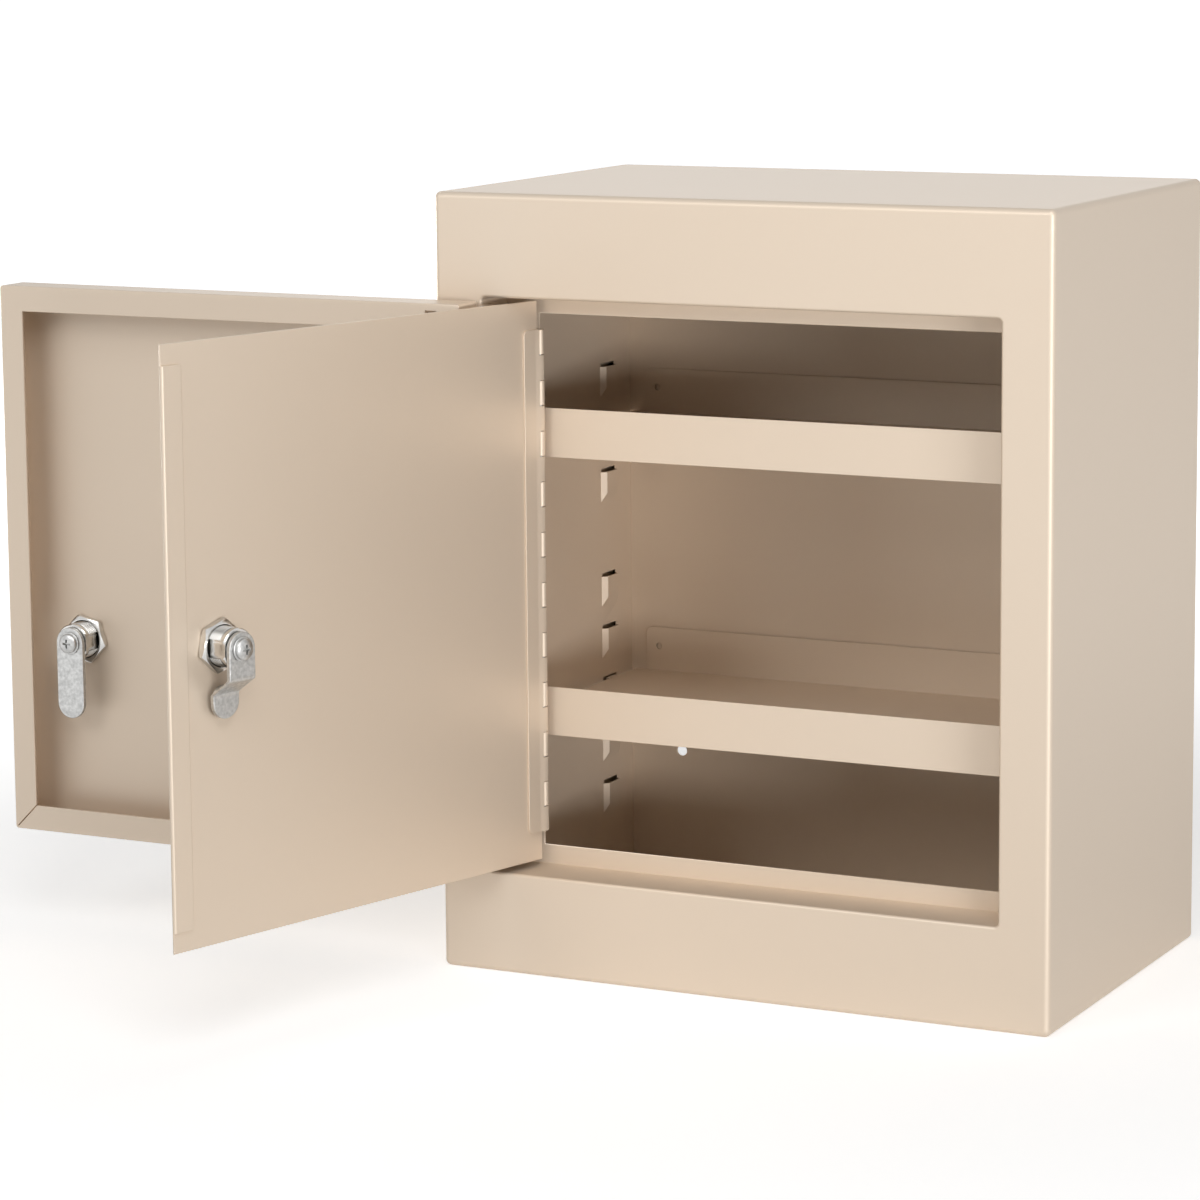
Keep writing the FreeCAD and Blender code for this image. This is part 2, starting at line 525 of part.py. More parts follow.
def lock(door, place, front):
    """A cam lock without its cam: barrel, nut, plug, wafers, washer and screw, on an axis along Y."""
    x, z = place
    cam = f"{front} + lock_reach"
    cam_back = f"{cam} + cam_thick"
    face = f"{front} - face_thick"

    barrel = piece(f"{door}_lock_barrel")
    rod(barrel, "face", "y", (x, face, z), "face_thick", "face_radius")
    bend(barrel, "bevel", "face_bevel", lambda edge, whole: near(edge.YMax, whole.YMin))
    rod(barrel, "thread", "y", (x, front, z), "lock_reach - cam_play", "barrel")
    for hand in (-1, 1):
        flat = (f"{x} + {hand} * barrel_flat", f"{x} + {hand} * barrel")
        block(barrel, f"flat_{hand + 1}", flat if hand > 0 else flat[::-1], (front, cam),
              about(z, "barrel * 2"), cut=True)
    rod(barrel, "bore", "y", (x, face, z), "face_thick + lock_reach", "plug + plug_play", cut=True)

    nut = piece(f"{door}_lock_nut")
    nut_turn = FreeCAD.Rotation(FreeCAD.Vector(0, 1, 0), sheet.get(f"{door}_nut_turn"))
    feature(nut, "AdditivePrism", "hexagon", nut_turn.multiply(TURNS["y"]), (x, f"{front} + sheet", z),
            {"Circumradius": "nut_radius", "Height": "nut_thick"})
    rod(nut, "thread", "y", (x, f"{front} + sheet", z), "nut_thick", "barrel + nut_play", cut=True)

    plug = piece(f"{door}_lock_plug")
    rod(plug, "body", "y", (x, face, z), "face_thick + lock_reach", "plug")
    block(plug, "drive", about(x, "drive"), (cam, cam_back), about(z, "drive"))
    block(plug, "keyway", about(x, "keyway_wide"), (face, f"{face} + keyway_deep"), about(z, "keyway_tall"),
          cut=True)
    shank = "screw_shank + screw_play"
    rod(plug, "tapping", "y", (x, f"{cam_back} - screw_length", z), "screw_length", shank, cut=True)
    wafer_y = (f"{face} + wafer_first", f"{face} + wafer_first + wafer_thick")
    slot_y = (f"{wafer_y[0]} - wafer_play", f"{wafer_y[1]} + wafer_play")
    slot_x = about(x, "wafer_wide + wafer_play * 2")
    slot = block(plug, "wafer_slot", slot_x, slot_y, about(z, "plug * 2"), cut=True)
    wafer_run = "wafer_pitch * (wafer_count - 1)"
    repeat(plug, "wafer_slots", [slot], "Y_Axis", wafer_run, "wafer_count")

    wafers = piece(f"{door}_lock_wafers")
    wafer = block(wafers, "wafer", about(x, "wafer_wide"), wafer_y, about(z, "wafer_tall"))
    repeat(wafers, "row", [wafer], "Y_Axis", wafer_run, "wafer_count")
    block(wafers, "window", about(x, "wafer_window_wide"), (wafer_y[0], f"{wafer_y[1]} + {wafer_run}"),
          about(z, "wafer_window_tall"), cut=True)

    washer = piece(f"{door}_cam_washer")
    rod(washer, "disc", "y", (x, cam_back, z), "washer_thick", "washer_radius")
    rod(washer, "hole", "y", (x, cam_back, z), "washer_thick", shank, cut=True)

    screw = piece(f"{door}_cam_screw")
    head = f"{cam_back} + washer_thick"
    crown = f"{head} + screw_crown"
    rod(screw, "head", "y", (x, head, z), "screw_crown", "screw_head")
    bend(screw, "crown", "screw_round", lambda edge, whole: near(edge.YMin, whole.YMax))
    rod(screw, "shank", "y", (x, f"{head} - screw_length", z), "screw_length", "screw_shank")
    for name, across, along in (("bar", "cross_long", "cross_wide"), ("post", "cross_wide", "cross_long")):
        block(screw, name, about(x, across), (f"{crown} - cross_deep", crown), about(z, along), cut=True)


def cam_arm(body, place, y, reach):
    """A cam's upper end about its lock, with the square hole still to be cut."""
    x, z = place
    rod(body, "head", "y", (x, y[0], z), "cam_thick", "cam_wide / 2")
    block(body, "arm", about(x, "cam_wide"), y, (f"{z} - ({reach})", z))


def cam_hole(body, place, y):
    x, z = place
    square = "drive + drive_play * 2"
    block(body, "drive_hole", about(x, square), y, about(z, square), cut=True)


def outer_cam():
    """The outer lock's straight cam, hanging unlocked."""
    body = piece("outer_lock_cam")
    x, z = OUTER_LOCK
    y = (f"{FRONT} + lock_reach", f"{FRONT} + lock_reach + cam_thick")
    cam_arm(body, OUTER_LOCK, y, "outer_cam_reach - cam_wide / 2")
    rod(body, "tip", "y", (x, y[0], f"{z} - outer_cam_reach + cam_wide / 2"), "cam_thick", "cam_wide / 2")
    cam_hole(body, OUTER_LOCK, y)


def inner_cam():
    """The inner lock's cam, cranked forward to catch close behind the door stop."""
    body = piece("inner_lock_cam")
    x, z = INNER_LOCK
    y = (f"{INNER_FRONT} + lock_reach", f"{INNER_FRONT} + lock_reach + cam_thick")
    tab_front = f"{STOP} + sheet + cam_play"
    tab = (tab_front, f"{tab_front} + cam_thick")
    foot = f"{z} - crank_start - crank_run"
    cam_arm(body, INNER_LOCK, y, "crank_start")
    wide = ("0", "cam_wide")
    crank_top = (f"({tab_front}) - ({y[1]})", f"({tab_front}) - ({y[0]})")
    wedge(body, "crank", TURNS["lying"], (f"{x} - cam_wide / 2", tab_front, foot), wide, wide, "crank_run",
          ("-cam_thick", "0"), crank_top)
    tip = f"{z} - inner_cam_reach + cam_wide / 2"
    block(body, "tab", about(x, "cam_wide"), tab, (tip, foot))
    rod(body, "tip", "y", (x, tab[0], tip), "cam_thick", "cam_wide / 2")
    cam_hole(body, INNER_LOCK, y)


def swing(door, pin, angle):
    """Open a door, with all that it carries, about its hinge pin."""
    for body in doc.findObjects("PartDesign::Body"):
        if body.Label.startswith(f"{door}_") and not body.Label.endswith(("frame_leaf", "hinge_pin")):
            turn = FreeCAD.Rotation(UP, -sheet.get(angle))
            body.Placement = FreeCAD.Placement(FreeCAD.Vector(), turn, pin.Shape.BoundBox.Center)


pan("top_panel", "height - rim", "height", ("height - rim", "height - sheet"), lambda box: box.ZMax)
pan("base_panel", "0", "rim", ("sheet", "rim"), lambda box: box.ZMin)
side("left_side", LEFT, 1)
side("right_side", RIGHT, -1)
front_frame()
back_panel()
liner("left")
liner("right")
shelf("lower_shelf", "shelf_low_slot")
shelf("upper_shelf", "shelf_high_slot")
outer_door()
inner_door()
outer_pin = outer_hinge()
inner_pin = inner_hinge()
lock("outer", OUTER_LOCK, FRONT)
lock("inner", INNER_LOCK, INNER_FRONT)
outer_cam()
inner_cam()
doc.recompute()
swing("outer", outer_pin, "outer_open")
swing("inner", inner_pin, "inner_open")
doc.recompute()

for item in doc.Objects:
    if "Invalid" in item.State or "Error" in item.State:
        raise RuntimeError(f"{item.Name} failed: {item.State}")

os.makedirs("parts", exist_ok=True)
for body in doc.findObjects("PartDesign::Body"):
    expected = int(sheet.get("wafer_count")) if body.Label.endswith("wafers") else 1
    if body.Shape.isNull() or not body.Shape.isValid() or len(body.Shape.Solids) != expected:
        raise RuntimeError(f"{body.Label} is not sound")
    body.Shape.exportStep(f"parts/{body.Label}.step")
    print(f"{body.Label}: {body.Shape.Volume:.1f} mm3")
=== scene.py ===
import json
import math

import bmesh
import bpy
from bpy.props import FloatProperty, FloatVectorProperty, IntProperty, PointerProperty
from mathutils import Matrix, Vector


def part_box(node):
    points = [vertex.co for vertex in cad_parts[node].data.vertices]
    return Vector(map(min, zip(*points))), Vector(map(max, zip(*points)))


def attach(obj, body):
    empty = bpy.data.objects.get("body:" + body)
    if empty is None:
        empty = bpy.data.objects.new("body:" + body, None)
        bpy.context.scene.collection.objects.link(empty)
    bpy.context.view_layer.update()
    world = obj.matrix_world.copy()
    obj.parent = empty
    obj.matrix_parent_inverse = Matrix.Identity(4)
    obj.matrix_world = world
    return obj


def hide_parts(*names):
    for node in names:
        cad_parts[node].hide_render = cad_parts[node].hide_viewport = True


bl_info = {
    "name": "Medicine cabinet",
    "version": (1, 0, 0),
    "blender": (4, 5, 0),
    "location": "View3D > Sidebar > Cabinet",
    "description": "Dresses the frame of a steel medicine cabinet with two locked doors",
    "category": "Object",
}

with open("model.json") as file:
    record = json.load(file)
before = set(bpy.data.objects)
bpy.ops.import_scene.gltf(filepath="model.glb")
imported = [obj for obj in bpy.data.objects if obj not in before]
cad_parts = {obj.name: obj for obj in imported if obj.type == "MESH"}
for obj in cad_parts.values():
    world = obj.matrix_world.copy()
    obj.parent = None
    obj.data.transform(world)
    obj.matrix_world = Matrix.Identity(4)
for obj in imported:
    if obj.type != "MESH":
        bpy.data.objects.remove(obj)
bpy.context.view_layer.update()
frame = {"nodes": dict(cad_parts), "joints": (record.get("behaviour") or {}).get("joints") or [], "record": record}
RECORD = frame["record"]
JOINTS = {joint["name"]: joint for joint in frame["joints"]}
BODY_OF = {node: body for body, nodes in RECORD["behaviour"]["bodies"].items() for node in nodes}
SLOT_OF = {part["node"]: part["material_slot"] for part in RECORD["subparts"]}
COLOUR_OF = {slot["slot"]: slot["base_color"] for slot in RECORD["materials"]}
UP = Vector((0, 0, 1))
MM = 0.001

# Points of a copied mesh this close are one point, and faces this nearly level are one face.
WELD = 1e-6
LEVEL = math.radians(0.4)
# Points this near to each other, or to a plane of the cabinet, are in the same place.
NEAR = WELD * 10
# An edge that turns more than this is a corner of the sheet, and not a step of a bend.
CORNER = math.radians(38)
# A bend turns less than this, and a cut edge of the sheet more.
STEEP = math.radians(75)
# Cosine from which an edge counts as lying straight across a cam.
ACROSS = 0.99
# The weight that keeps a large face level beside a rounded edge.
LARGE_FACES = 100
# A bevel of this profile is round.
ROUND_PROFILE = 0.5
# Nearly all values of a noise texture lie between these.
NOISE_LOW = 0.3
NOISE_HIGH = 0.7

# Steps round a lock, round its screw and along a ridge of its thread.
ROUND = 96
SCREW_ROUND = 48
THREAD_STEPS = 24
# Steps across the rim of a lock's face, a washer's rolled edge and a screw's dome.
RIM_STEPS = 5
WASHER_STEPS = 6
DOME_STEPS = 8
# Steps of the rolled leaf: its rise to the notches, the rest of the rise, the roll and the far corners.
RISE_STEPS = 4
LEAD_STEPS = 3
ROLL_STEPS = 22
CORNER_STEPS = 6
FLOOR_STEPS = 64

BOX_PANELS = ("top_panel", "base_panel", "left_side", "right_side", "front_frame", "back_panel")
INNER_SHEETS = ("left_liner", "right_liner", "lower_shelf", "upper_shelf")
DOOR_PANELS = ("outer_door_panel", "inner_door_panel")
HINGE_LEAVES = ("outer_hinge_frame_leaf", "outer_hinge_door_leaf", "inner_hinge_frame_leaf")
HINGE_PINS = ("outer_hinge_pin", "inner_hinge_pin")
DOORS = ("outer", "inner")

# Each lamp's place, width and height in metres. The side and left lamps stay below the cabinet's top.
LAMPS = {
    "key": ((0.93, -1.66, 1.86), 1.3, 1.3),
    "fill": ((-0.68, -2.15, 1.36), 1.0, 1.0),
    "side": ((3.05, -2.61, 0.19), 1.6, 0.36),
    "back": ((-1.05, 2.2, 0.75), 1.4, 1.4),
    "left": ((-2.3, 0.9, 0.19), 1.2, 0.36),
}
# The point that every lamp is aimed at.
LAMPS_AIM = (0, -0.05, 0.19)
# Width of the camera's sensor, in millimetres.
SENSOR = 36

# Inputs of every node tree that makes a row, and their types.
ROW_INPUTS = {"Start": "Float", "Spacing": "Float", "Copies": "Int", "Finish": "Material"}


def length(name, text, metres):
    """A length that a user can change, in metres."""
    return FloatProperty(name=name, description=text, default=metres, min=0, precision=5, unit="LENGTH")


def degrees(name, text, number):
    """An angle, written here in degrees."""
    return FloatProperty(name=name, description=text, default=math.radians(number),
                         subtype="ANGLE", unit="ROTATION")


def watts(name, text, number):
    """The power of a lamp."""
    return FloatProperty(name=name, description=text, default=number, min=0, unit="POWER")


def colour(name, text, rgb):
    """A colour in linear red, green and blue."""
    return FloatVectorProperty(name=name, description=text, default=rgb, size=3, subtype="COLOR",
                               min=0, max=1)


def share(name, text, value):
    """A share of one."""
    return FloatProperty(name=name, description=text, default=value, min=0, max=1, subtype="FACTOR")


def count(name, text, number):
    """A whole number of at least one."""
    return IntProperty(name=name, description=text, default=number, min=1)


class PaintFinish(bpy.types.PropertyGroup):
    """The powder coat of the cabinet."""
    paint: colour("Paint", "Colour of the powder coat", COLOUR_OF["beige_paint"])
    gloss_low: share("Smoothest", "Roughness where the coat flowed out best", 0.2)
    gloss_high: share("Roughest", "Roughness where the coat is driest", 0.28)
    mottle: share("Mottle", "How far the coat's colour drifts", 0.03)
    drift_size: length("Drift size", "Size of the patches that the colour drifts over", 90 * MM)
    flow_size: length("Flow size", "Size of the patches that the gloss drifts over", 12 * MM)
    peel_size: length("Peel size", "Size of the coat's orange peel", 1.1 * MM)
    peel_height: length("Peel height", "Height of the coat's orange peel", 0.02 * MM)


class MetalFinish(bpy.types.PropertyGroup):
    """The plated metal of the locks and pins."""
    nickel: colour("Nickel", "Colour of the bright plate", COLOUR_OF["lock_plating"])
    nickel_dark: share("Nickel dark", "Share of the colour in the bright plate's darkest clouds", 0.74)
    nickel_light: share("Nickel light", "Share of the colour in the bright plate's lightest clouds", 0.9)
    nickel_low: share("Nickel smoothest", "Roughness of the bright plate's darkest clouds", 0.136)
    nickel_high: share("Nickel roughest", "Roughness of the bright plate's lightest clouds", 0.221)
    cloud_size: length("Cloud size", "Size of the clouds in the bright plate", 4 * MM)
    wave_size: length("Wave size", "Size of the waves that polishing left", 2.5 * MM)
    wave_height: length("Wave height", "Height of the waves that polishing left", 0.02 * MM)
    zinc: colour("Zinc", "Colour of the dull plate", COLOUR_OF["zinc_plate"])
    zinc_dark: share("Zinc dark", "Share of the colour in the dull plate's darkest patches", 0.64)
    zinc_light: share("Zinc light", "Share of the colour in the dull plate's lightest patches", 0.92)
    zinc_low: share("Zinc smoothest", "Roughness of the dull plate's lightest patches", 0.288)
    zinc_high: share("Zinc roughest", "Roughness of the dull plate's darkest patches", 0.45)
    spangle: length("Spangle", "Size of the patches in the dull plate", 1.6 * MM)
    grain_size: length("Grain size", "Size of the dull plate's grain", 0.6 * MM)
    grain_height: length("Grain height", "Height of the dull plate's grain", 0.015 * MM)


class EdgeSizes(bpy.types.PropertyGroup):
    """How far edges are rounded."""
    sheet_edge: length("Sheet edge", "Rounding of a painted sheet's edges", 0.3 * MM)
    leaf_edge: length("Leaf edge", "Rounding of a hinge leaf's edges", 0.3 * MM)
    shelf_edge: length("Shelf edge", "Rounding of the shelves' and liners' edges", 0.15 * MM)
    cam_edge: length("Cam edge", "Rounding of a stamped cam's edges", 0.35 * MM)
    crank_bend: length("Crank bend", "Rounding of the cranked cam's bends", 1.3 * MM)
    plug_edge: length("Plug edge", "Rounding of the edges of a lock's plug and wafers", 0.15 * MM)
    pin_edge: length("Pin edge", "Rounding of a hinge pin's ends", 0.4 * MM)
    steps: count("Steps", "Faces across a rounded edge", 2)
    bend_steps: count("Bend steps", "Faces across a bend of the cranked cam", 4)


class HingeSizes(bpy.types.PropertyGroup):
    """Sizes of the rolled leaf on the inner door, measured across its pin."""
    reach: length("Reach", "Pin to the leaf's far edge", 12.5 * MM)
    face: length("Face", "Pin to the plane of the leaf's face", 1.6 * MM)
    thick: length("Thickness", "Thickness of the leaf's sheet", 0.9 * MM)
    roll_radius: length("Roll radius", "Radius over a rolled knuckle", 2.2 * MM)
    roll_turn: degrees("Roll turn", "How far a knuckle is rolled round its pin", 275)
    rise_start: length("Rise start", "Pin to where the leaf begins to rise to its knuckles", 5.2 * MM)
    rise_end: length("Rise end", "Pin to where the leaf is as high as its knuckles", 0.5 * MM)
    notch: length("Notch", "Pin to the notches for the other leaf's knuckles", 2.45 * MM)
    play: length("Play", "Gap from one knuckle to the next", 0.3 * MM)
    corner: length("Corner", "Rounding of the leaf's far corners", 2.5 * MM)
    edge: length("Edge", "Rounding of the leaf's edges", 0.18 * MM)
    pairs: count("Pairs", "Knuckles on the leaf", 10)


class LockSizes(bpy.types.PropertyGroup):
    """Sizes of the cam locks, along the lock's axis from the front of its door."""
    face_radius: length("Face radius", "Lock's round face", 11.2 * MM)
    face_thick: length("Face thickness", "Thickness of the lock's face", 2.0 * MM)
    rim: length("Rim", "Rounding of the rim of the lock's face", 0.9 * MM)
    barrel_length: length("Barrel length", "Door's front to the end of the barrel", 15.0 * MM)
    crest: length("Thread crest", "Radius over the barrel's thread", 9.3 * MM)
    thread_depth: length("Thread depth", "Height of the barrel's thread", 0.55 * MM)
    pitch: length("Thread pitch", "One ridge of the thread to the next", 1.15 * MM)
    ridge_foot: share("Ridge foot", "Width of a ridge's foot, as a share of the pitch", 0.9)
    ridge_top: share("Ridge top", "Width of a ridge's top, as a share of the pitch", 0.22)
    collar: length("Collar", "Plain end of the barrel, beside the cam", 2.6 * MM)
    collar_drop: length("Collar drop", "Collar to the thread's crest, across the barrel", 0.15 * MM)
    collar_rise: length("Collar rise", "Run of the slope up to the collar", 0.3 * MM)
    barrel_lead: length("Barrel lead", "Chamfer at the end of the barrel", 0.5 * MM)
    flat: length("Flat", "Lock's axis to the flats of its barrel", 8.2 * MM)
    bore: length("Bore", "Radius of the barrel's bore", 5.86 * MM)
    bore_lead: length("Bore lead", "Chamfer at the ends of the barrel's bore", 0.3 * MM)
    nut_start: length("Nut start", "Door's front to the lock nut", 1.2 * MM)
    nut_thick: length("Nut thickness", "Thickness of the lock nut", 4.0 * MM)
    nut_corner: length("Nut corner", "Lock's axis to a corner of the nut", 12.7 * MM)
    nut_play: length("Nut play", "Nut's bore to the thread's crest", 0.05 * MM)
    nut_lead: length("Nut lead", "Chamfer at the ends of the nut's bore", 0.5 * MM)
    nut_face: share("Nut face", "Radius of the nut's flat face, as a share of half its width", 0.97)
    nut_slope: degrees("Nut slope", "Slope that the nut's corners are turned off at", 30)
    outer_nut_turn: degrees("Outer nut turn", "Turn that the outer nut was left at", -13)
    inner_nut_turn: degrees("Inner nut turn", "Turn that the inner nut was left at", 18)
    washer_start: length("Washer start", "Door's front to the cam washer", 17.7 * MM)
    washer_thick: length("Washer thickness", "Thickness of the cam washer", 0.8 * MM)
    washer_radius: length("Washer radius", "Radius of the cam washer", 5.8 * MM)
    washer_play: length("Washer play", "Washer's hole to the screw's shank", 0.08 * MM)
    screw_head: length("Screw head", "Radius of the cam screw's head", 4.9 * MM)
    screw_crown: length("Screw crown", "Height of the cam screw's head", 2.2 * MM)
    screw_shank: length("Screw shank", "Radius of the cam screw's shank", 2.0 * MM)
    screw_length: length("Screw length", "Length of the cam screw's shank", 7.0 * MM)
    shank_lead: length("Shank lead", "Chamfer at the tip of the cam screw", 0.3 * MM)
    head_lead: length("Head lead", "Chamfer under the rim of the screw's head", 0.1 * MM)
    head_side: share("Head side", "Height of the head's side, as a share of the head's", 0.32)
    dome_turn: degrees("Dome turn", "How far the head's dome curves over", 84)
    dome_power: share("Dome power", "Power of the dome's curve, less for a fuller dome", 0.8)
    cross_long: length("Cross length", "Cross recess of the screw, from end to end", 5.2 * MM)
    cross_wide: length("Cross width", "Width of the cross recess", 1.1 * MM)
    cross_deep: length("Cross depth", "Depth of the cross recess", 1.4 * MM)
    cross_taper: share("Cross taper", "Floor of the cross recess, as a share of its mouth", 0.62)
    cutter_rise: length("Cutter rise", "How far the recess's cutter stands out of the head", 0.5 * MM)


class StageSettings(bpy.types.PropertyGroup):
    """The plain studio round the cabinet."""
    floor: colour("Floor", "Colour of the floor", (0.86, 0.86, 0.86))
    floor_radius: length("Floor radius", "Middle of the floor to its rim", 40)
    floor_glow: share("Floor glow", "White that the floor adds to its look beside the cabinet", 0.52)
    glow_start: length("Glow start", "Distance at which the floor's own white begins to rise", 0.3)
    glow_full: length("Glow full", "Distance from which the floor is plain white", 1.3)
    ambient: share("Ambient", "Strength of the soft light from all round", 0.12)
    key_power: watts("Key power", "Power of the high lamp in front to the right", 19.5)
    fill_power: watts("Fill power", "Power of the lamp in front to the left", 12)
    side_power: watts("Side power", "Power of the low lamp on the right", 60)
    back_power: watts("Back power", "Power of the lamp behind to the left", 4.5)
    left_power: watts("Left power", "Power of the low lamp on the left", 18)
    camera_place: FloatVectorProperty(name="Camera place", description="Where the camera stands",
                                      default=(0.8098, -1.85508, 0.52839), size=3, subtype="TRANSLATION")
    camera_yaw: degrees("Yaw", "Turn of the camera to the left of straight ahead", 26.6435)
    camera_pitch: degrees("Pitch", "Tilt of the camera above the level", -8.511)
    camera_roll: degrees("Roll", "Lean of the camera about its own axis", -0.4916)
    lens: FloatProperty(name="Lens", description="Focal length of the camera's lens",
                        default=125.355, unit="CAMERA")
    lens_shift: FloatProperty(name="Lens shift", default=-0.08, min=-1, max=1, subtype="FACTOR",
                              description="Rise of the lens, which keeps uprights straighter")


# Materials

def blank_material(name):
    """A material with a Principled shader, its tree's nodes and its links."""
    material = bpy.data.materials.new(name)
    material.use_nodes = True
    nodes = material.node_tree.nodes
    return material, nodes, material.node_tree.links, nodes["Principled BSDF"]


def noise(nodes, links, size, detail):
    """Soft noise of a real size, in the cabinet's own coordinates."""
    place = nodes.new("ShaderNodeTexCoord")
    texture = nodes.new("ShaderNodeTexNoise")
    texture.inputs["Scale"].default_value = 1 / size
    texture.inputs["Detail"].default_value = detail
    links.new(place.outputs["Object"], texture.inputs["Vector"])
    return texture.outputs["Fac"]


def spread(nodes, links, source, low, high):
    """Noise stretched over a range of values."""
    ramp = nodes.new("ShaderNodeMapRange")
    ramp.inputs["From Min"].default_value = NOISE_LOW
    ramp.inputs["From Max"].default_value = NOISE_HIGH
    ramp.inputs["To Min"].default_value = low
    ramp.inputs["To Max"].default_value = high
    links.new(source, ramp.inputs["Value"])
    return ramp.outputs["Result"]


def two_tones(nodes, links, source, dark, light):
    """A colour that drifts between two tones."""
    ramp = nodes.new("ShaderNodeValToRGB")
    ramp.color_ramp.elements[0].position = NOISE_LOW
    ramp.color_ramp.elements[0].color = (*dark, 1)
    ramp.color_ramp.elements[1].position = NOISE_HIGH
    ramp.color_ramp.elements[1].color = (*light, 1)
    links.new(source, ramp.inputs["Fac"])
    return ramp.outputs["Color"]


def relief(nodes, links, source, height):
    """Fine relief of a real height."""
    bump = nodes.new("ShaderNodeBump")
    bump.inputs["Strength"].default_value = 1
    bump.inputs["Distance"].default_value = height
    links.new(source, bump.inputs["Height"])
    return bump.outputs["Normal"]


def shade(rgb, factor):
    """A colour made darker or lighter."""
    return tuple(min(1, channel * factor) for channel in rgb)


def beige_paint():
    """Satin powder coat with fine orange peel and a slow drift of colour."""
    finish = bpy.context.scene.cabinet_paint
    material, nodes, links, shader = blank_material("beige_paint")
    drift = noise(nodes, links, finish.drift_size, detail=3)
    dark = shade(finish.paint, 1 - finish.mottle / 2)
    light = shade(finish.paint, 1 + finish.mottle / 2)
    links.new(two_tones(nodes, links, drift, dark, light), shader.inputs["Base Color"])
    flow = noise(nodes, links, finish.flow_size, detail=2)
    links.new(spread(nodes, links, flow, finish.gloss_low, finish.gloss_high), shader.inputs["Roughness"])
    peel = noise(nodes, links, finish.peel_size, detail=1)
    links.new(relief(nodes, links, peel, finish.peel_height), shader.inputs["Normal"])
    return material


def bright_nickel():
    """Bright plate over die-cast metal, with soft waves left by polishing."""
    finish = bpy.context.scene.cabinet_metal
    material, nodes, links, shader = blank_material("bright_nickel")
    shader.inputs["Metallic"].default_value = 1
    clouds = noise(nodes, links, finish.cloud_size, detail=3)
    dark = shade(finish.nickel, finish.nickel_dark)
    light = shade(finish.nickel, finish.nickel_light)
    links.new(two_tones(nodes, links, clouds, dark, light), shader.inputs["Base Color"])
    rough = spread(nodes, links, clouds, finish.nickel_low, finish.nickel_high)
    links.new(rough, shader.inputs["Roughness"])
    waves = noise(nodes, links, finish.wave_size, detail=2)
    links.new(relief(nodes, links, waves, finish.wave_height), shader.inputs["Normal"])
    return material


def dull_zinc():
    """Dull plate on stamped steel, with the patches of its spangle."""
    finish = bpy.context.scene.cabinet_metal
    material, nodes, links, shader = blank_material("dull_zinc")
    shader.inputs["Metallic"].default_value = 1
    patches = noise(nodes, links, finish.spangle, detail=4)
    dark = shade(finish.zinc, finish.zinc_dark)
    light = shade(finish.zinc, finish.zinc_light)
    links.new(two_tones(nodes, links, patches, dark, light), shader.inputs["Base Color"])
    rough = spread(nodes, links, patches, finish.zinc_high, finish.zinc_low)
    links.new(rough, shader.inputs["Roughness"])
    grain = noise(nodes, links, finish.grain_size, detail=3)
    links.new(relief(nodes, links, grain, finish.grain_height), shader.inputs["Normal"])
    return material


FINISHES = {"beige_paint": beige_paint, "lock_plating": bright_nickel, "zinc_plate": dull_zinc}


def finish_of(slot):
    """The finish of a material slot, made the first time that it is asked for."""
    name = FINISHES[slot].__name__
    return bpy.data.materials.get(name) or FINISHES[slot]()


# Pieces

def new_piece(name, mesh):
    """A new object of the scene."""
    piece = bpy.data.objects.new(name, mesh)
    bpy.context.scene.collection.objects.link(piece)
    return piece


def from_bmesh(name, form):
    """A new object from a form, which is freed."""
    mesh = bpy.data.meshes.new(name)
    form.to_mesh(mesh)
    form.free()
    return new_piece(name, mesh)


def made_plain(piece):
    """Turn what the modifiers give into the piece's own mesh, and take the modifiers off."""
    graph = bpy.context.evaluated_depsgraph_get()
    mesh = bpy.data.meshes.new_from_object(piece.evaluated_get(graph))
    piece.modifiers.clear()
    piece.data = mesh
    return piece


def settled(piece, node, stands_for=True):
    """Give a piece its finish and let it ride with the body of a CAD node, which it may stand for."""
    slot = SLOT_OF[node]
    piece.data.materials.clear()
    piece.data.materials.append(finish_of(slot))
    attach(piece, BODY_OF[node])
    if stands_for:
        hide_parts(node)
    return piece


def welded_copy(node):
    """The mesh of a CAD node with its loose triangles joined into level faces."""
    form = bmesh.new()
    form.from_mesh(frame["nodes"][node].data)
    bmesh.ops.remove_doubles(form, verts=form.verts, dist=WELD)
    bmesh.ops.dissolve_limit(form, angle_limit=LEVEL, verts=form.verts, edges=form.edges)
    return form


def is_corner(edge):
    """True for an edge that is a corner of the sheet."""
    return len(edge.link_faces) == 2 and edge.calc_face_angle() > CORNER


def soften(piece, radius, steps):
    """Round the edges that carry a bevel weight, with level faces kept level."""
    for polygon in piece.data.polygons:
        polygon.use_smooth = True
    bevel = piece.modifiers.new("edges", "BEVEL")
    bevel.limit_method = "WEIGHT"
    bevel.width = radius
    bevel.segments = steps
    bevel.use_clamp_overlap = False
    normals = piece.modifiers.new("normals", "WEIGHTED_NORMAL")
    normals.weight = LARGE_FACES
    normals.keep_sharp = True
    return made_plain(piece)


def rounded(name, form, radius, weigh=None, steps=None):
    """A piece whose outer corners are rounded, by the share of the radius that weigh gives each of them."""
    weights = form.edges.layers.float.new("bevel_weight_edge")
    for edge in form.edges:
        corner = is_corner(edge)
        if corner and weigh:
            edge[weights] = weigh(edge)
        elif corner and edge.is_convex:
            edge[weights] = 1
        edge.smooth = not corner
    return soften(from_bmesh(name, form), radius, steps or bpy.context.scene.cabinet_edges.steps)


def edge_softened(node, name, radius, weigh=None, steps=None):
    """A copy of a CAD node with its corners rounded."""
    return settled(rounded(name, welded_copy(node), radius, weigh, steps), node)


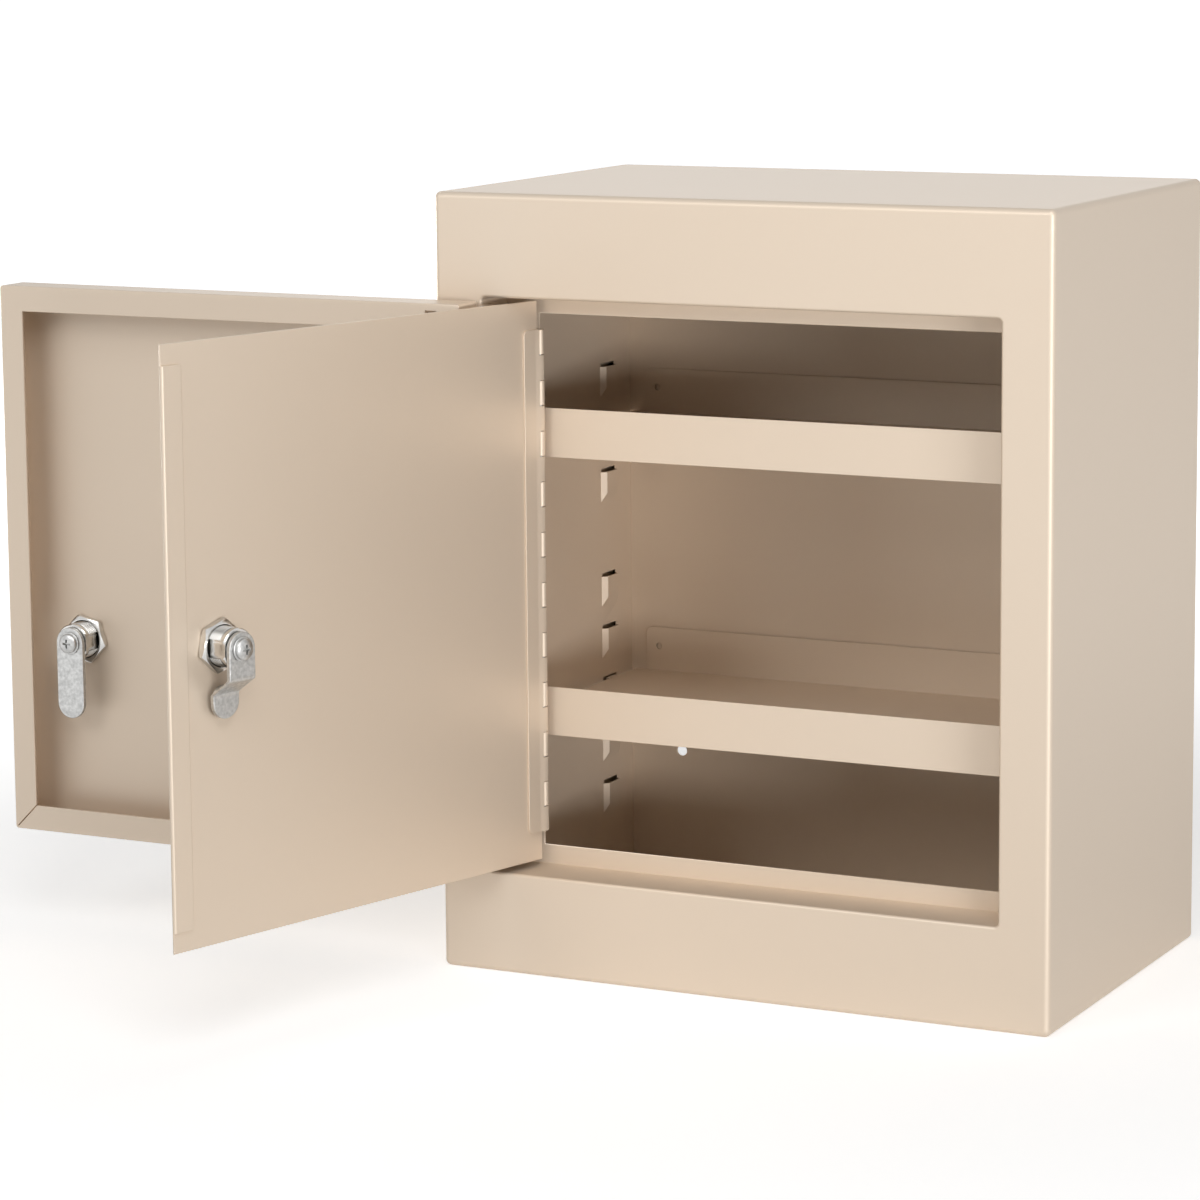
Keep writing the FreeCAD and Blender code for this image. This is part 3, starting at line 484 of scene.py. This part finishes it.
def open_edges():
    """Weights for the box's panels: none on edges that are welded flush to the next panel."""
    low, high = (Vector(corner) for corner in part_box("left_side"))
    levels = (low.z, high.z)
    half = max(abs(corner.x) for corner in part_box("front_frame"))

    def weigh(edge):
        first, second = (point.co for point in edge.verts)
        flush = any(abs(first.z - level) < NEAR and abs(second.z - level) < NEAR for level in levels)
        upright = abs(abs(first.x) - half) < NEAR and abs(abs(second.x) - half) < NEAR
        return 1 if edge.is_convex and not (flush or upright) else 0

    return weigh


# Locks

def lock_place(door):
    """A lock's frame: its origin on the door's front, Y into the cabinet and Z up."""
    joint = JOINTS[f"{door}_cam_turn"]
    inward = -Vector(joint["axis"]).normalized()
    turn = Matrix((inward.cross(UP), inward, UP)).transposed()
    return Matrix.Translation(Vector(joint["pos_m"])) @ turn.to_4x4()


def lathe(form, rings, hollow):
    """Skin a list of closed rings of points: round again to the first if hollow, or else with flat ends."""
    loops = [[form.verts.new(point) for point in points] for points in rings]
    ends = loops[:1] if hollow else []
    for first, second in zip(loops, loops[1:] + ends):
        for i in range(len(first)):
            after = (i + 1) % len(first)
            form.faces.new((first[i], first[after], second[after], second[i]))
    if not hollow:
        form.faces.new(loops[0])
        form.faces.new(loops[-1])


def ring(radius_at, along_at, steps, turn=0):
    """Points round the lock's axis, whose radius and place along it may change with the angle."""
    points = []
    for i in range(steps):
        angle = turn + math.tau * i / steps
        radius = radius_at(angle)
        points.append(Vector((radius * math.cos(angle), along_at(radius), radius * math.sin(angle))))
    return points


def steady(value):
    """A radius or a place that is the same at every angle."""
    return lambda _: value


def turned_piece(name, rings, place, hollow=True):
    """A closed piece, skinned round the lock's axis and put in its place."""
    form = bmesh.new()
    lathe(form, rings, hollow)
    bmesh.ops.recalc_face_normals(form, faces=form.faces)
    for edge in form.edges:
        edge.smooth = edge.calc_face_angle() < CORNER
    for face in form.faces:
        face.smooth = True
    form.transform(place)
    return from_bmesh(name, form)


def lock_barrel(door):
    """The barrel: a rounded face, a core with two flats and the bore of the plug."""
    sizes = bpy.context.scene.cabinet_locks
    root = sizes.crest - sizes.thread_depth
    collar = sizes.crest - sizes.collar_drop
    lead = sizes.bore_lead
    face = -sizes.face_thick
    end = sizes.barrel_length
    neck = end - sizes.collar

    def flattened(radius):
        """A round outline with a flat on each side."""
        def radius_at(angle):
            across = abs(math.cos(angle))
            return sizes.flat / across if radius * across > sizes.flat else radius

        return radius_at

    outline = [(steady(sizes.bore), face + lead), (steady(sizes.bore + lead), face)]
    for i in range(RIM_STEPS + 1):
        bend = math.pi / 2 * i / RIM_STEPS
        radius = sizes.face_radius - sizes.rim + sizes.rim * math.sin(bend)
        outline.append((steady(radius), face + sizes.rim - sizes.rim * math.cos(bend)))
    outline += [
        (steady(sizes.face_radius), 0),
        (flattened(root), 0),
        (flattened(root), neck),
        (flattened(collar), neck + sizes.collar_rise),
        (flattened(collar), end - sizes.barrel_lead),
        (flattened(collar - sizes.barrel_lead), end),
        (steady(sizes.bore + lead), end),
        (steady(sizes.bore), end - lead),
    ]
    rings = [ring(radius_at, steady(along), ROUND) for radius_at, along in outline]
    return settled(turned_piece(f"{door}_barrel", rings, lock_place(door)), f"{door}_lock_barrel")


def new_row_tree(name, inputs):
    """A node tree for a row of copies, with its own inputs and those of every row, and its given values."""
    tree = bpy.data.node_groups.new(name, "GeometryNodeTree")
    tree.interface.new_socket("Geometry", in_out="OUTPUT", socket_type="NodeSocketGeometry")
    for label, kind in {**inputs, **ROW_INPUTS}.items():
        tree.interface.new_socket(label, in_out="INPUT", socket_type=f"NodeSocket{kind}")
    return tree, tree.nodes.new("NodeGroupInput").outputs


def set_in_row(tree, given, geometry):
    """Copies of a geometry along Z, from the start that the tree is given."""
    nodes, links = tree.nodes, tree.links
    line = nodes.new("GeometryNodeMeshLine")
    links.new(given["Copies"], line.inputs["Count"])
    for label, socket in (("Start", "Start Location"), ("Spacing", "Offset")):
        along = nodes.new("ShaderNodeCombineXYZ")
        links.new(given[label], along.inputs["Z"])
        links.new(along.outputs["Vector"], line.inputs[socket])
    copies = nodes.new("GeometryNodeInstanceOnPoints")
    links.new(line.outputs["Mesh"], copies.inputs["Points"])
    links.new(geometry, copies.inputs["Instance"])
    real = nodes.new("GeometryNodeRealizeInstances")
    links.new(copies.outputs["Instances"], real.inputs["Geometry"])
    return real.outputs["Geometry"]


def hand_out(tree, given, geometry):
    """Give a geometry its finish and make it the tree's result."""
    finish = tree.nodes.new("GeometryNodeSetMaterial")
    tree.links.new(geometry, finish.inputs["Geometry"])
    tree.links.new(given["Finish"], finish.inputs["Material"])
    result = tree.nodes.new("NodeGroupOutput")
    tree.links.new(finish.outputs["Geometry"], result.inputs["Geometry"])


def thread_tree():
    """Ridges of a thread between two flats, set along Z."""
    numbers = ("Radius", "Depth", "Foot", "Top", "Start angle", "Sweep")
    tree, given = new_row_tree("Thread ridges", dict.fromkeys(numbers, "Float"))
    nodes, links = tree.nodes, tree.links
    arc = nodes.new("GeometryNodeCurveArc")
    arc.inputs["Resolution"].default_value = THREAD_STEPS
    links.new(given["Radius"], arc.inputs["Radius"])
    links.new(given["Start angle"], arc.inputs["Start Angle"])
    links.new(given["Sweep"], arc.inputs["Sweep Angle"])

    tooth = nodes.new("GeometryNodeCurvePrimitiveQuadrilateral")
    tooth.mode = "TRAPEZOID"
    tooth.inputs["Offset"].default_value = 0
    links.new(given["Depth"], tooth.inputs["Height"])
    links.new(given["Foot"], tooth.inputs["Bottom Width"])
    links.new(given["Top"], tooth.inputs["Top Width"])
    upright = nodes.new("GeometryNodeTransform")
    upright.inputs["Rotation"].default_value = (0, 0, -math.pi / 2)
    links.new(tooth.outputs["Curve"], upright.inputs["Geometry"])

    ridge = nodes.new("GeometryNodeCurveToMesh")
    ridge.inputs["Fill Caps"].default_value = True
    links.new(arc.outputs["Curve"], ridge.inputs["Curve"])
    links.new(upright.outputs["Geometry"], ridge.inputs["Profile Curve"])
    across = nodes.new("GeometryNodeTransform")
    across.inputs["Rotation"].default_value = (0, 0, math.pi)
    links.new(ridge.outputs["Mesh"], across.inputs["Geometry"])
    pair = nodes.new("GeometryNodeJoinGeometry")
    links.new(ridge.outputs["Mesh"], pair.inputs["Geometry"])
    links.new(across.outputs["Geometry"], pair.inputs["Geometry"])
    hand_out(tree, given, set_in_row(tree, given, pair.outputs["Geometry"]))
    return tree


def grown(name, tree, inputs, place, mesh=None):
    """A piece that a node tree makes from its named inputs, as a plain mesh in its place."""
    piece = new_piece(name, mesh or bpy.data.meshes.new(name))
    modifier = piece.modifiers.new(tree.name, "NODES")
    modifier.node_group = tree
    sockets = {item.name: item.identifier for item in tree.interface.items_tree if item.in_out == "INPUT"}
    for label, value in inputs.items():
        modifier[sockets[label]] = value
    made_plain(piece)
    piece.data.transform(place)
    return piece


def lock_thread(door, tree):
    """The thread of a barrel, from the door to the barrel's plain collar."""
    sizes = bpy.context.scene.cabinet_locks
    node = f"{door}_lock_barrel"
    run = sizes.barrel_length - sizes.collar - sizes.pitch
    flat_ends = math.acos(sizes.flat / sizes.crest)
    inputs = {
        "Radius": sizes.crest - sizes.thread_depth / 2,
        "Depth": sizes.thread_depth,
        "Foot": sizes.pitch * sizes.ridge_foot,
        "Top": sizes.pitch * sizes.ridge_top,
        "Start angle": flat_ends,
        "Sweep": math.pi - 2 * flat_ends,
        "Start": sizes.pitch / 2,
        "Spacing": sizes.pitch,
        "Copies": int(run / sizes.pitch) + 1,
        "Finish": finish_of(SLOT_OF[node]),
    }
    place = lock_place(door) @ Matrix.Rotation(-math.pi / 2, 4, "X")
    return settled(grown(f"{door}_barrel_thread", tree, inputs, place), node, stands_for=False)


def lock_nut(door):
    """The lock nut: a hexagon whose corners are turned off at both faces."""
    sizes = bpy.context.scene.cabinet_locks
    start, end = sizes.nut_start, sizes.nut_start + sizes.nut_thick
    side = math.tau / 6
    apothem = sizes.nut_corner * math.cos(side / 2)
    turned = apothem * sizes.nut_face
    slope = math.tan(sizes.nut_slope)
    bore = sizes.crest + sizes.nut_play
    lead = sizes.nut_lead
    # The rings start at a corner of the hexagon and have a multiple of six steps, so each corner is a point.
    turn = getattr(sizes, f"{door}_nut_turn")

    def hexagon(angle):
        return apothem / math.cos((angle + turn) % side - side / 2)

    def at(radius, along):
        return ring(steady(radius), steady(along), ROUND, -turn)

    rings = [
        at(bore, start + lead),
        at(bore + lead, start),
        at(turned, start),
        ring(hexagon, lambda radius: start + (radius - turned) * slope, ROUND, -turn),
        ring(hexagon, lambda radius: end - (radius - turned) * slope, ROUND, -turn),
        at(turned, end),
        at(bore + lead, end),
        at(bore, end - lead),
    ]
    return settled(turned_piece(f"{door}_nut", rings, lock_place(door)), f"{door}_lock_nut")


def cam_washer(door):
    """The washer under a cam's screw, with rolled edges."""
    sizes = bpy.context.scene.cabinet_locks
    start, end = sizes.washer_start, sizes.washer_start + sizes.washer_thick
    hole = sizes.screw_shank + sizes.washer_play
    roll = sizes.washer_thick / 2
    rim = sizes.washer_radius - roll
    outline = [(hole, start), (rim, start)]
    for i in range(1, WASHER_STEPS):
        bend = math.pi * i / WASHER_STEPS
        outline.append((rim + roll * math.sin(bend), start + roll - roll * math.cos(bend)))
    outline += [(rim, end), (hole, end)]
    rings = [ring(steady(radius), steady(along), ROUND) for radius, along in outline]
    return settled(turned_piece(f"{door}_washer", rings, lock_place(door)), f"{door}_cam_washer")


def cross_cutter(along):
    """The tapered cross of a screw's recess, with its mouth at a place along the lock's axis."""
    sizes = bpy.context.scene.cabinet_locks
    form = bmesh.new()
    for long_x in (True, False):
        points = []
        for depth, taper in ((sizes.cutter_rise, 1), (-sizes.cross_deep, sizes.cross_taper)):
            half_long = sizes.cross_long / 2 * taper
            half_wide = sizes.cross_wide / 2 * taper
            half_x, half_z = (half_long, half_wide) if long_x else (half_wide, half_long)
            corners = ((-half_x, -half_z), (half_x, -half_z), (half_x, half_z), (-half_x, half_z))
            points.append([form.verts.new((x, along + depth, z)) for x, z in corners])
        top, low = points
        form.faces.new(top)
        form.faces.new(low[::-1])
        for i in range(len(top)):
            after = (i + 1) % len(top)
            form.faces.new((top[after], top[i], low[i], low[after]))
    bmesh.ops.recalc_face_normals(form, faces=form.faces)
    return from_bmesh("cross_cutter", form)


def cam_screw(door):
    """A pan-head screw with a cross recess."""
    sizes = bpy.context.scene.cabinet_locks
    foot = sizes.washer_start + sizes.washer_thick
    crown = foot + sizes.screw_crown
    tip = foot - sizes.screw_length
    side = foot + sizes.screw_crown * sizes.head_side
    outline = [
        (sizes.screw_shank - sizes.shank_lead, tip),
        (sizes.screw_shank, tip + sizes.shank_lead),
        (sizes.screw_shank, foot),
        (sizes.screw_head - sizes.head_lead, foot),
        (sizes.screw_head, foot + sizes.head_lead),
    ]
    for i in range(DOME_STEPS + 1):
        bend = sizes.dome_turn * i / DOME_STEPS
        radius = sizes.screw_head * math.cos(bend) ** sizes.dome_power
        outline.append((radius, side + (crown - side) * math.sin(bend)))
    rings = [ring(steady(radius), steady(along), SCREW_ROUND) for radius, along in outline]
    piece = turned_piece(f"{door}_screw", rings, Matrix.Identity(4), hollow=False)
    cutter = cross_cutter(crown)
    recess = piece.modifiers.new("recess", "BOOLEAN")
    recess.operation = "DIFFERENCE"
    recess.solver = "EXACT"
    recess.use_self = True
    recess.object = cutter
    made_plain(piece)
    bpy.data.objects.remove(cutter)
    piece.data.transform(lock_place(door))
    return settled(piece, f"{door}_cam_screw")


def stamped_cam(door):
    """A cam with its stamped edges rounded, and its bends too where it is cranked."""
    sizes = bpy.context.scene.cabinet_edges
    across = lock_place(door).col[0].to_3d()

    def weigh(edge):
        first, second = (point.co for point in edge.verts)
        crosses = abs((second - first).normalized().dot(across)) > ACROSS
        if crosses and edge.calc_face_angle() < STEEP:
            return 1
        return sizes.cam_edge / sizes.crank_bend if edge.is_convex else 0

    return edge_softened(f"{door}_lock_cam", f"{door}_cam", sizes.crank_bend, weigh, sizes.bend_steps)


# Hinges

def leaf_outline():
    """Outline of the leaf across its pin: the plate up to its cut end, and the roll that grows there."""
    sizes = bpy.context.scene.cabinet_hinges
    half = sizes.thick / 2
    low = sizes.face - half
    high = sizes.roll_radius - half

    def rise(along):
        """Height of the sheet's middle, which goes up to the knuckles in a smooth step."""
        share_up = min(max((sizes.rise_start - along) / (sizes.rise_start - sizes.rise_end), 0), 1)
        return low + (high - low) * share_up * share_up * (3 - 2 * share_up)

    def strip(places, side):
        return [(along, rise(along) + side * half) for along in places]

    def arc(radius):
        angles = [math.pi / 2 + sizes.roll_turn * i / ROLL_STEPS for i in range(ROLL_STEPS + 1)]
        return [(radius * math.cos(angle), radius * math.sin(angle)) for angle in angles]

    to_notch = sizes.notch - sizes.rise_start
    to_end = sizes.rise_end - sizes.notch
    slope = [sizes.rise_start + to_notch * i / RISE_STEPS for i in range(RISE_STEPS + 1)]
    lead = [sizes.notch + to_end * i / LEAD_STEPS for i in range(1, LEAD_STEPS + 1)]
    flat = [sizes.reach] + slope
    plate = strip(flat, 1) + strip(flat[::-1], -1)
    roll = strip(lead, 1) + arc(high + half) + arc(high - half)[::-1] + strip(lead[::-1], -1)
    return plate, roll


def leaf_stretch(pitch):
    """One stretch of the leaf, a knuckle and a notch long, open at both ends."""
    plate, roll = leaf_outline()
    levels = (0, pitch - bpy.context.scene.cabinet_hinges.play, 2 * pitch)
    form = bmesh.new()
    sheet = [[form.verts.new((*point, level)) for point in plate] for level in levels]
    # The plate's cut end lies between this point of its outline and the next.
    cut = len(plate) // 2 - 1
    rims = []
    for level, edge in zip(levels[:2], sheet):
        rims.append([edge[cut]] + [form.verts.new((*point, level)) for point in roll] + [edge[cut + 1]])
    for first, second in zip(sheet, sheet[1:]):
        at_knuckle = first is sheet[0]
        for i in range(len(plate)):
            after = (i + 1) % len(plate)
            if not (at_knuckle and i == cut):
                form.faces.new((first[i], first[after], second[after], second[i]))
    low, high = rims
    for i in range(len(low) - 1):
        form.faces.new((low[i], low[i + 1], high[i + 1], high[i]))
    form.faces.new(low)
    form.faces.new(high)
    mesh = bpy.data.meshes.new("leaf_stretch")
    form.to_mesh(mesh)
    form.free()
    return mesh


def row_tree():
    """Copies of a stretch, set end to end along Z and joined."""
    tree, given = new_row_tree("Row of stretches", {"Stretch": "Geometry"})
    joined = tree.nodes.new("GeometryNodeMergeByDistance")
    joined.inputs["Distance"].default_value = NEAR
    tree.links.new(set_in_row(tree, given, given["Stretch"]), joined.inputs["Geometry"])
    hand_out(tree, given, joined.outputs["Geometry"])
    return tree


def rolled_leaf():
    """The inner door's hinge leaf, whose knuckles are rolled from its sheet and lie flush with its face."""
    node = "inner_hinge_door_leaf"
    sizes = bpy.context.scene.cabinet_hinges
    low, high = (Vector(corner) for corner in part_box(node))
    pitch = (high.z - low.z) / sizes.pairs / 2
    inputs = {"Start": 0.0, "Spacing": 2 * pitch, "Copies": sizes.pairs, "Finish": finish_of(SLOT_OF[node])}
    row = grown("leaf_row", row_tree(), inputs, Matrix.Identity(4), leaf_stretch(pitch))
    form = bmesh.new()
    form.from_mesh(row.data)
    bpy.data.objects.remove(row)
    bmesh.ops.holes_fill(form, edges=[edge for edge in form.edges if edge.is_boundary], sides=0)
    bmesh.ops.recalc_face_normals(form, faces=form.faces)
    bmesh.ops.dissolve_limit(form, angle_limit=LEVEL, verts=form.verts, edges=form.edges)
    ends = (0, high.z - low.z)

    def at_tip(edge):
        """True for an edge through the sheet at one of the leaf's two far corners."""
        first, second = (point.co for point in edge.verts)
        far = all(abs(point.x - sizes.reach) < NEAR for point in (first, second))
        at_end = any(abs(first.z - end) < NEAR for end in ends)
        return far and at_end and abs(first.z - second.z) < WELD

    tips = [edge for edge in form.edges if at_tip(edge)]
    bmesh.ops.bevel(form, geom=tips, offset=sizes.corner, offset_type="OFFSET", segments=CORNER_STEPS,
                    profile=ROUND_PROFILE, affect="EDGES", clamp_overlap=False)
    pin = Vector(JOINTS["inner_door_swing"]["pos_m"])
    turn = lock_place("inner").to_3x3().to_4x4()
    form.transform(Matrix.Translation((pin.x, pin.y, low.z + sizes.play / 2)) @ turn)
    return settled(rounded(f"{node}_plate", form, sizes.edge), node)


# Stage

def seen_directly(nodes, links, strength):
    """A strength that counts only for camera, glossy and transmission rays."""
    path = nodes.new("ShaderNodeLightPath")
    total = path.outputs["Is Camera Ray"]
    for ray in ("Is Glossy Ray", "Is Transmission Ray"):
        either = nodes.new("ShaderNodeMath")
        either.operation = "MAXIMUM"
        links.new(total, either.inputs[0])
        links.new(path.outputs[ray], either.inputs[1])
        total = either.outputs[0]
    scaled = nodes.new("ShaderNodeMath")
    scaled.operation = "MULTIPLY"
    scaled.inputs[1].default_value = strength
    links.new(total, scaled.inputs[0])
    return scaled.outputs[0]


def floor_material():
    """Pale floor that shows white to the camera and in gloss, and still takes shadows."""
    stage = bpy.context.scene.cabinet_stage
    material, nodes, links, shader = blank_material("pale_floor")
    shader.inputs["Base Color"].default_value = (*stage.floor, 1)
    shader.inputs["Roughness"].default_value = 1
    shader.inputs["Specular IOR Level"].default_value = 0
    place = nodes.new("ShaderNodeTexCoord")
    distance = nodes.new("ShaderNodeVectorMath")
    distance.operation = "LENGTH"
    links.new(place.outputs["Object"], distance.inputs[0])
    rise = nodes.new("ShaderNodeMapRange")
    rise.interpolation_type = "SMOOTHSTEP"
    rise.inputs["From Min"].default_value = stage.glow_start
    rise.inputs["From Max"].default_value = stage.glow_full
    rise.inputs["To Min"].default_value = stage.floor_glow
    rise.inputs["To Max"].default_value = 1
    links.new(distance.outputs["Value"], rise.inputs["Value"])
    glow = nodes.new("ShaderNodeEmission")
    strength = nodes.new("ShaderNodeMath")
    strength.operation = "MULTIPLY"
    links.new(rise.outputs["Result"], strength.inputs[0])
    links.new(seen_directly(nodes, links, 1), strength.inputs[1])
    links.new(strength.outputs[0], glow.inputs["Strength"])
    both = nodes.new("ShaderNodeAddShader")
    links.new(shader.outputs["BSDF"], both.inputs[0])
    links.new(glow.outputs["Emission"], both.inputs[1])
    links.new(both.outputs["Shader"], nodes["Material Output"].inputs["Surface"])
    return material


def white_world():
    """White to the camera and in gloss, and a softer white as light."""
    stage = bpy.context.scene.cabinet_stage
    world = bpy.data.worlds.new("studio")
    world.use_nodes = True
    nodes, links = world.node_tree.nodes, world.node_tree.links
    back = nodes["Background"]
    back.inputs["Color"].default_value = (1, 1, 1, 1)
    extra = seen_directly(nodes, links, 1 - stage.ambient)
    total = nodes.new("ShaderNodeMath")
    total.operation = "ADD"
    total.inputs[1].default_value = stage.ambient
    links.new(extra, total.inputs[0])
    links.new(total.outputs[0], back.inputs["Strength"])
    bpy.context.scene.world = world


def soft_lamp(name, power):
    """A soft lamp in its place, aimed at the middle of the cabinet."""
    place, width, height = LAMPS[name]
    data = bpy.data.lights.new(f"{name}_softbox", "AREA")
    data.shape = "RECTANGLE"
    data.size = width
    data.size_y = height
    data.energy = power
    lamp = bpy.data.objects.new(f"{name}_softbox", data)
    lamp.location = place
    lamp.rotation_euler = (Vector(LAMPS_AIM) - Vector(place)).to_track_quat("-Z", "Y").to_euler()
    bpy.context.scene.collection.objects.link(lamp)


def photo_camera():
    """A camera that sees the cabinet as the photo does, as nearly as a plain lens can."""
    stage = bpy.context.scene.cabinet_stage
    data = bpy.data.cameras.new("camera")
    data.lens = stage.lens
    data.sensor_width = SENSOR
    data.shift_y = stage.lens_shift
    camera = bpy.data.objects.new("camera", data)
    yaw = Matrix.Rotation(stage.camera_yaw, 4, "Z")
    pitch = Matrix.Rotation(math.pi / 2 + stage.camera_pitch, 4, "X")
    roll = Matrix.Rotation(stage.camera_roll, 4, "Z")
    camera.matrix_world = Matrix.Translation(stage.camera_place) @ yaw @ pitch @ roll
    bpy.context.scene.collection.objects.link(camera)
    bpy.context.scene.camera = camera


# Operators

class WeldBox(bpy.types.Operator):
    """Dress the box's panels, with their seams flush and their open edges rounded."""
    bl_idname = "medicine_cabinet.weld_box"
    bl_label = "Weld box"

    def execute(self, context):
        weigh = open_edges()
        for node in BOX_PANELS:
            edge_softened(node, f"{node}_sheet", context.scene.cabinet_edges.sheet_edge, weigh)
        return {"FINISHED"}


class HangShelves(bpy.types.Operator):
    """Dress the side liners and the shelves that hang in their pockets."""
    bl_idname = "medicine_cabinet.hang_shelves"
    bl_label = "Hang shelves"

    def execute(self, context):
        for node in INNER_SHEETS:
            edge_softened(node, f"{node}_sheet", context.scene.cabinet_edges.shelf_edge)
        return {"FINISHED"}


class FoldDoors(bpy.types.Operator):
    """Dress the pan of the outer door and the hemmed sheet of the inner one."""
    bl_idname = "medicine_cabinet.fold_doors"
    bl_label = "Fold doors"

    def execute(self, context):
        for node in DOOR_PANELS:
            edge_softened(node, f"{node}_sheet", context.scene.cabinet_edges.sheet_edge)
        return {"FINISHED"}


class PinHinges(bpy.types.Operator):
    """Dress the hinges' leaves and pins."""
    bl_idname = "medicine_cabinet.pin_hinges"
    bl_label = "Pin hinges"

    def execute(self, context):
        edges = context.scene.cabinet_edges
        for node in HINGE_LEAVES:
            edge_softened(node, f"{node}_plate", edges.leaf_edge)
        rolled_leaf()
        for node in HINGE_PINS:
            edge_softened(node, f"{node}_wire", edges.pin_edge)
        return {"FINISHED"}


class FitLocks(bpy.types.Operator):
    """Make each lock's barrel, thread, nut, plug and wafers."""
    bl_idname = "medicine_cabinet.fit_locks"
    bl_label = "Fit locks"

    def execute(self, context):
        tree = thread_tree()
        for door in DOORS:
            lock_barrel(door)
            lock_thread(door, tree)
            lock_nut(door)
            edge_softened(f"{door}_lock_plug", f"{door}_plug", context.scene.cabinet_edges.plug_edge)
            edge_softened(f"{door}_lock_wafers", f"{door}_wafers", context.scene.cabinet_edges.plug_edge)
        return {"FINISHED"}


class FitCams(bpy.types.Operator):
    """Make each lock's cam, washer and screw."""
    bl_idname = "medicine_cabinet.fit_cams"
    bl_label = "Fit cams"

    def execute(self, context):
        for door in DOORS:
            stamped_cam(door)
            cam_washer(door)
            cam_screw(door)
        return {"FINISHED"}


class SetStage(bpy.types.Operator):
    """Set the floor, the light and the camera."""
    bl_idname = "medicine_cabinet.set_stage"
    bl_label = "Set stage"

    def execute(self, context):
        stage = context.scene.cabinet_stage
        context.scene.view_settings.view_transform = "Standard"
        form = bmesh.new()
        bmesh.ops.create_circle(form, cap_ends=True, segments=FLOOR_STEPS, radius=stage.floor_radius)
        floor = from_bmesh("floor", form)
        floor.data.materials.append(floor_material())
        white_world()
        for name in LAMPS:
            soft_lamp(name, getattr(stage, f"{name}_power"))
        photo_camera()
        return {"FINISHED"}


STEPS = (WeldBox, HangShelves, FoldDoors, PinHinges, FitLocks, FitCams, SetStage)
GROUPS = {
    "cabinet_paint": PaintFinish, "cabinet_metal": MetalFinish, "cabinet_edges": EdgeSizes,
    "cabinet_hinges": HingeSizes, "cabinet_locks": LockSizes, "cabinet_stage": StageSettings,
}


class CabinetPanel(bpy.types.Panel):
    """The cabinet's steps, in the order that they are run."""
    bl_idname = "VIEW3D_PT_medicine_cabinet"
    bl_label = "Medicine cabinet"
    bl_space_type = "VIEW_3D"
    bl_region_type = "UI"
    bl_category = "Cabinet"

    def draw(self, context):
        for step in STEPS:
            self.layout.operator(step.bl_idname)
        for group in GROUPS:
            box = self.layout.box()
            settings = getattr(context.scene, group)
            for name in settings.__annotations__:
                box.prop(settings, name)


def register():
    for group in GROUPS.values():
        bpy.utils.register_class(group)
    for step in STEPS:
        bpy.utils.register_class(step)
    bpy.utils.register_class(CabinetPanel)
    for name, group in GROUPS.items():
        setattr(bpy.types.Scene, name, PointerProperty(type=group))


def unregister():
    for name in GROUPS:
        delattr(bpy.types.Scene, name)
    bpy.utils.unregister_class(CabinetPanel)
    for step in reversed(STEPS):
        bpy.utils.unregister_class(step)
    for group in reversed(GROUPS.values()):
        bpy.utils.unregister_class(group)


def main():
    """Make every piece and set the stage."""
    register()
    bpy.ops.medicine_cabinet.weld_box()
    bpy.ops.medicine_cabinet.hang_shelves()
    bpy.ops.medicine_cabinet.fold_doors()
    bpy.ops.medicine_cabinet.pin_hinges()
    bpy.ops.medicine_cabinet.fit_locks()
    bpy.ops.medicine_cabinet.fit_cams()
    bpy.ops.medicine_cabinet.set_stage()


if __name__ == "__main__":
    main()
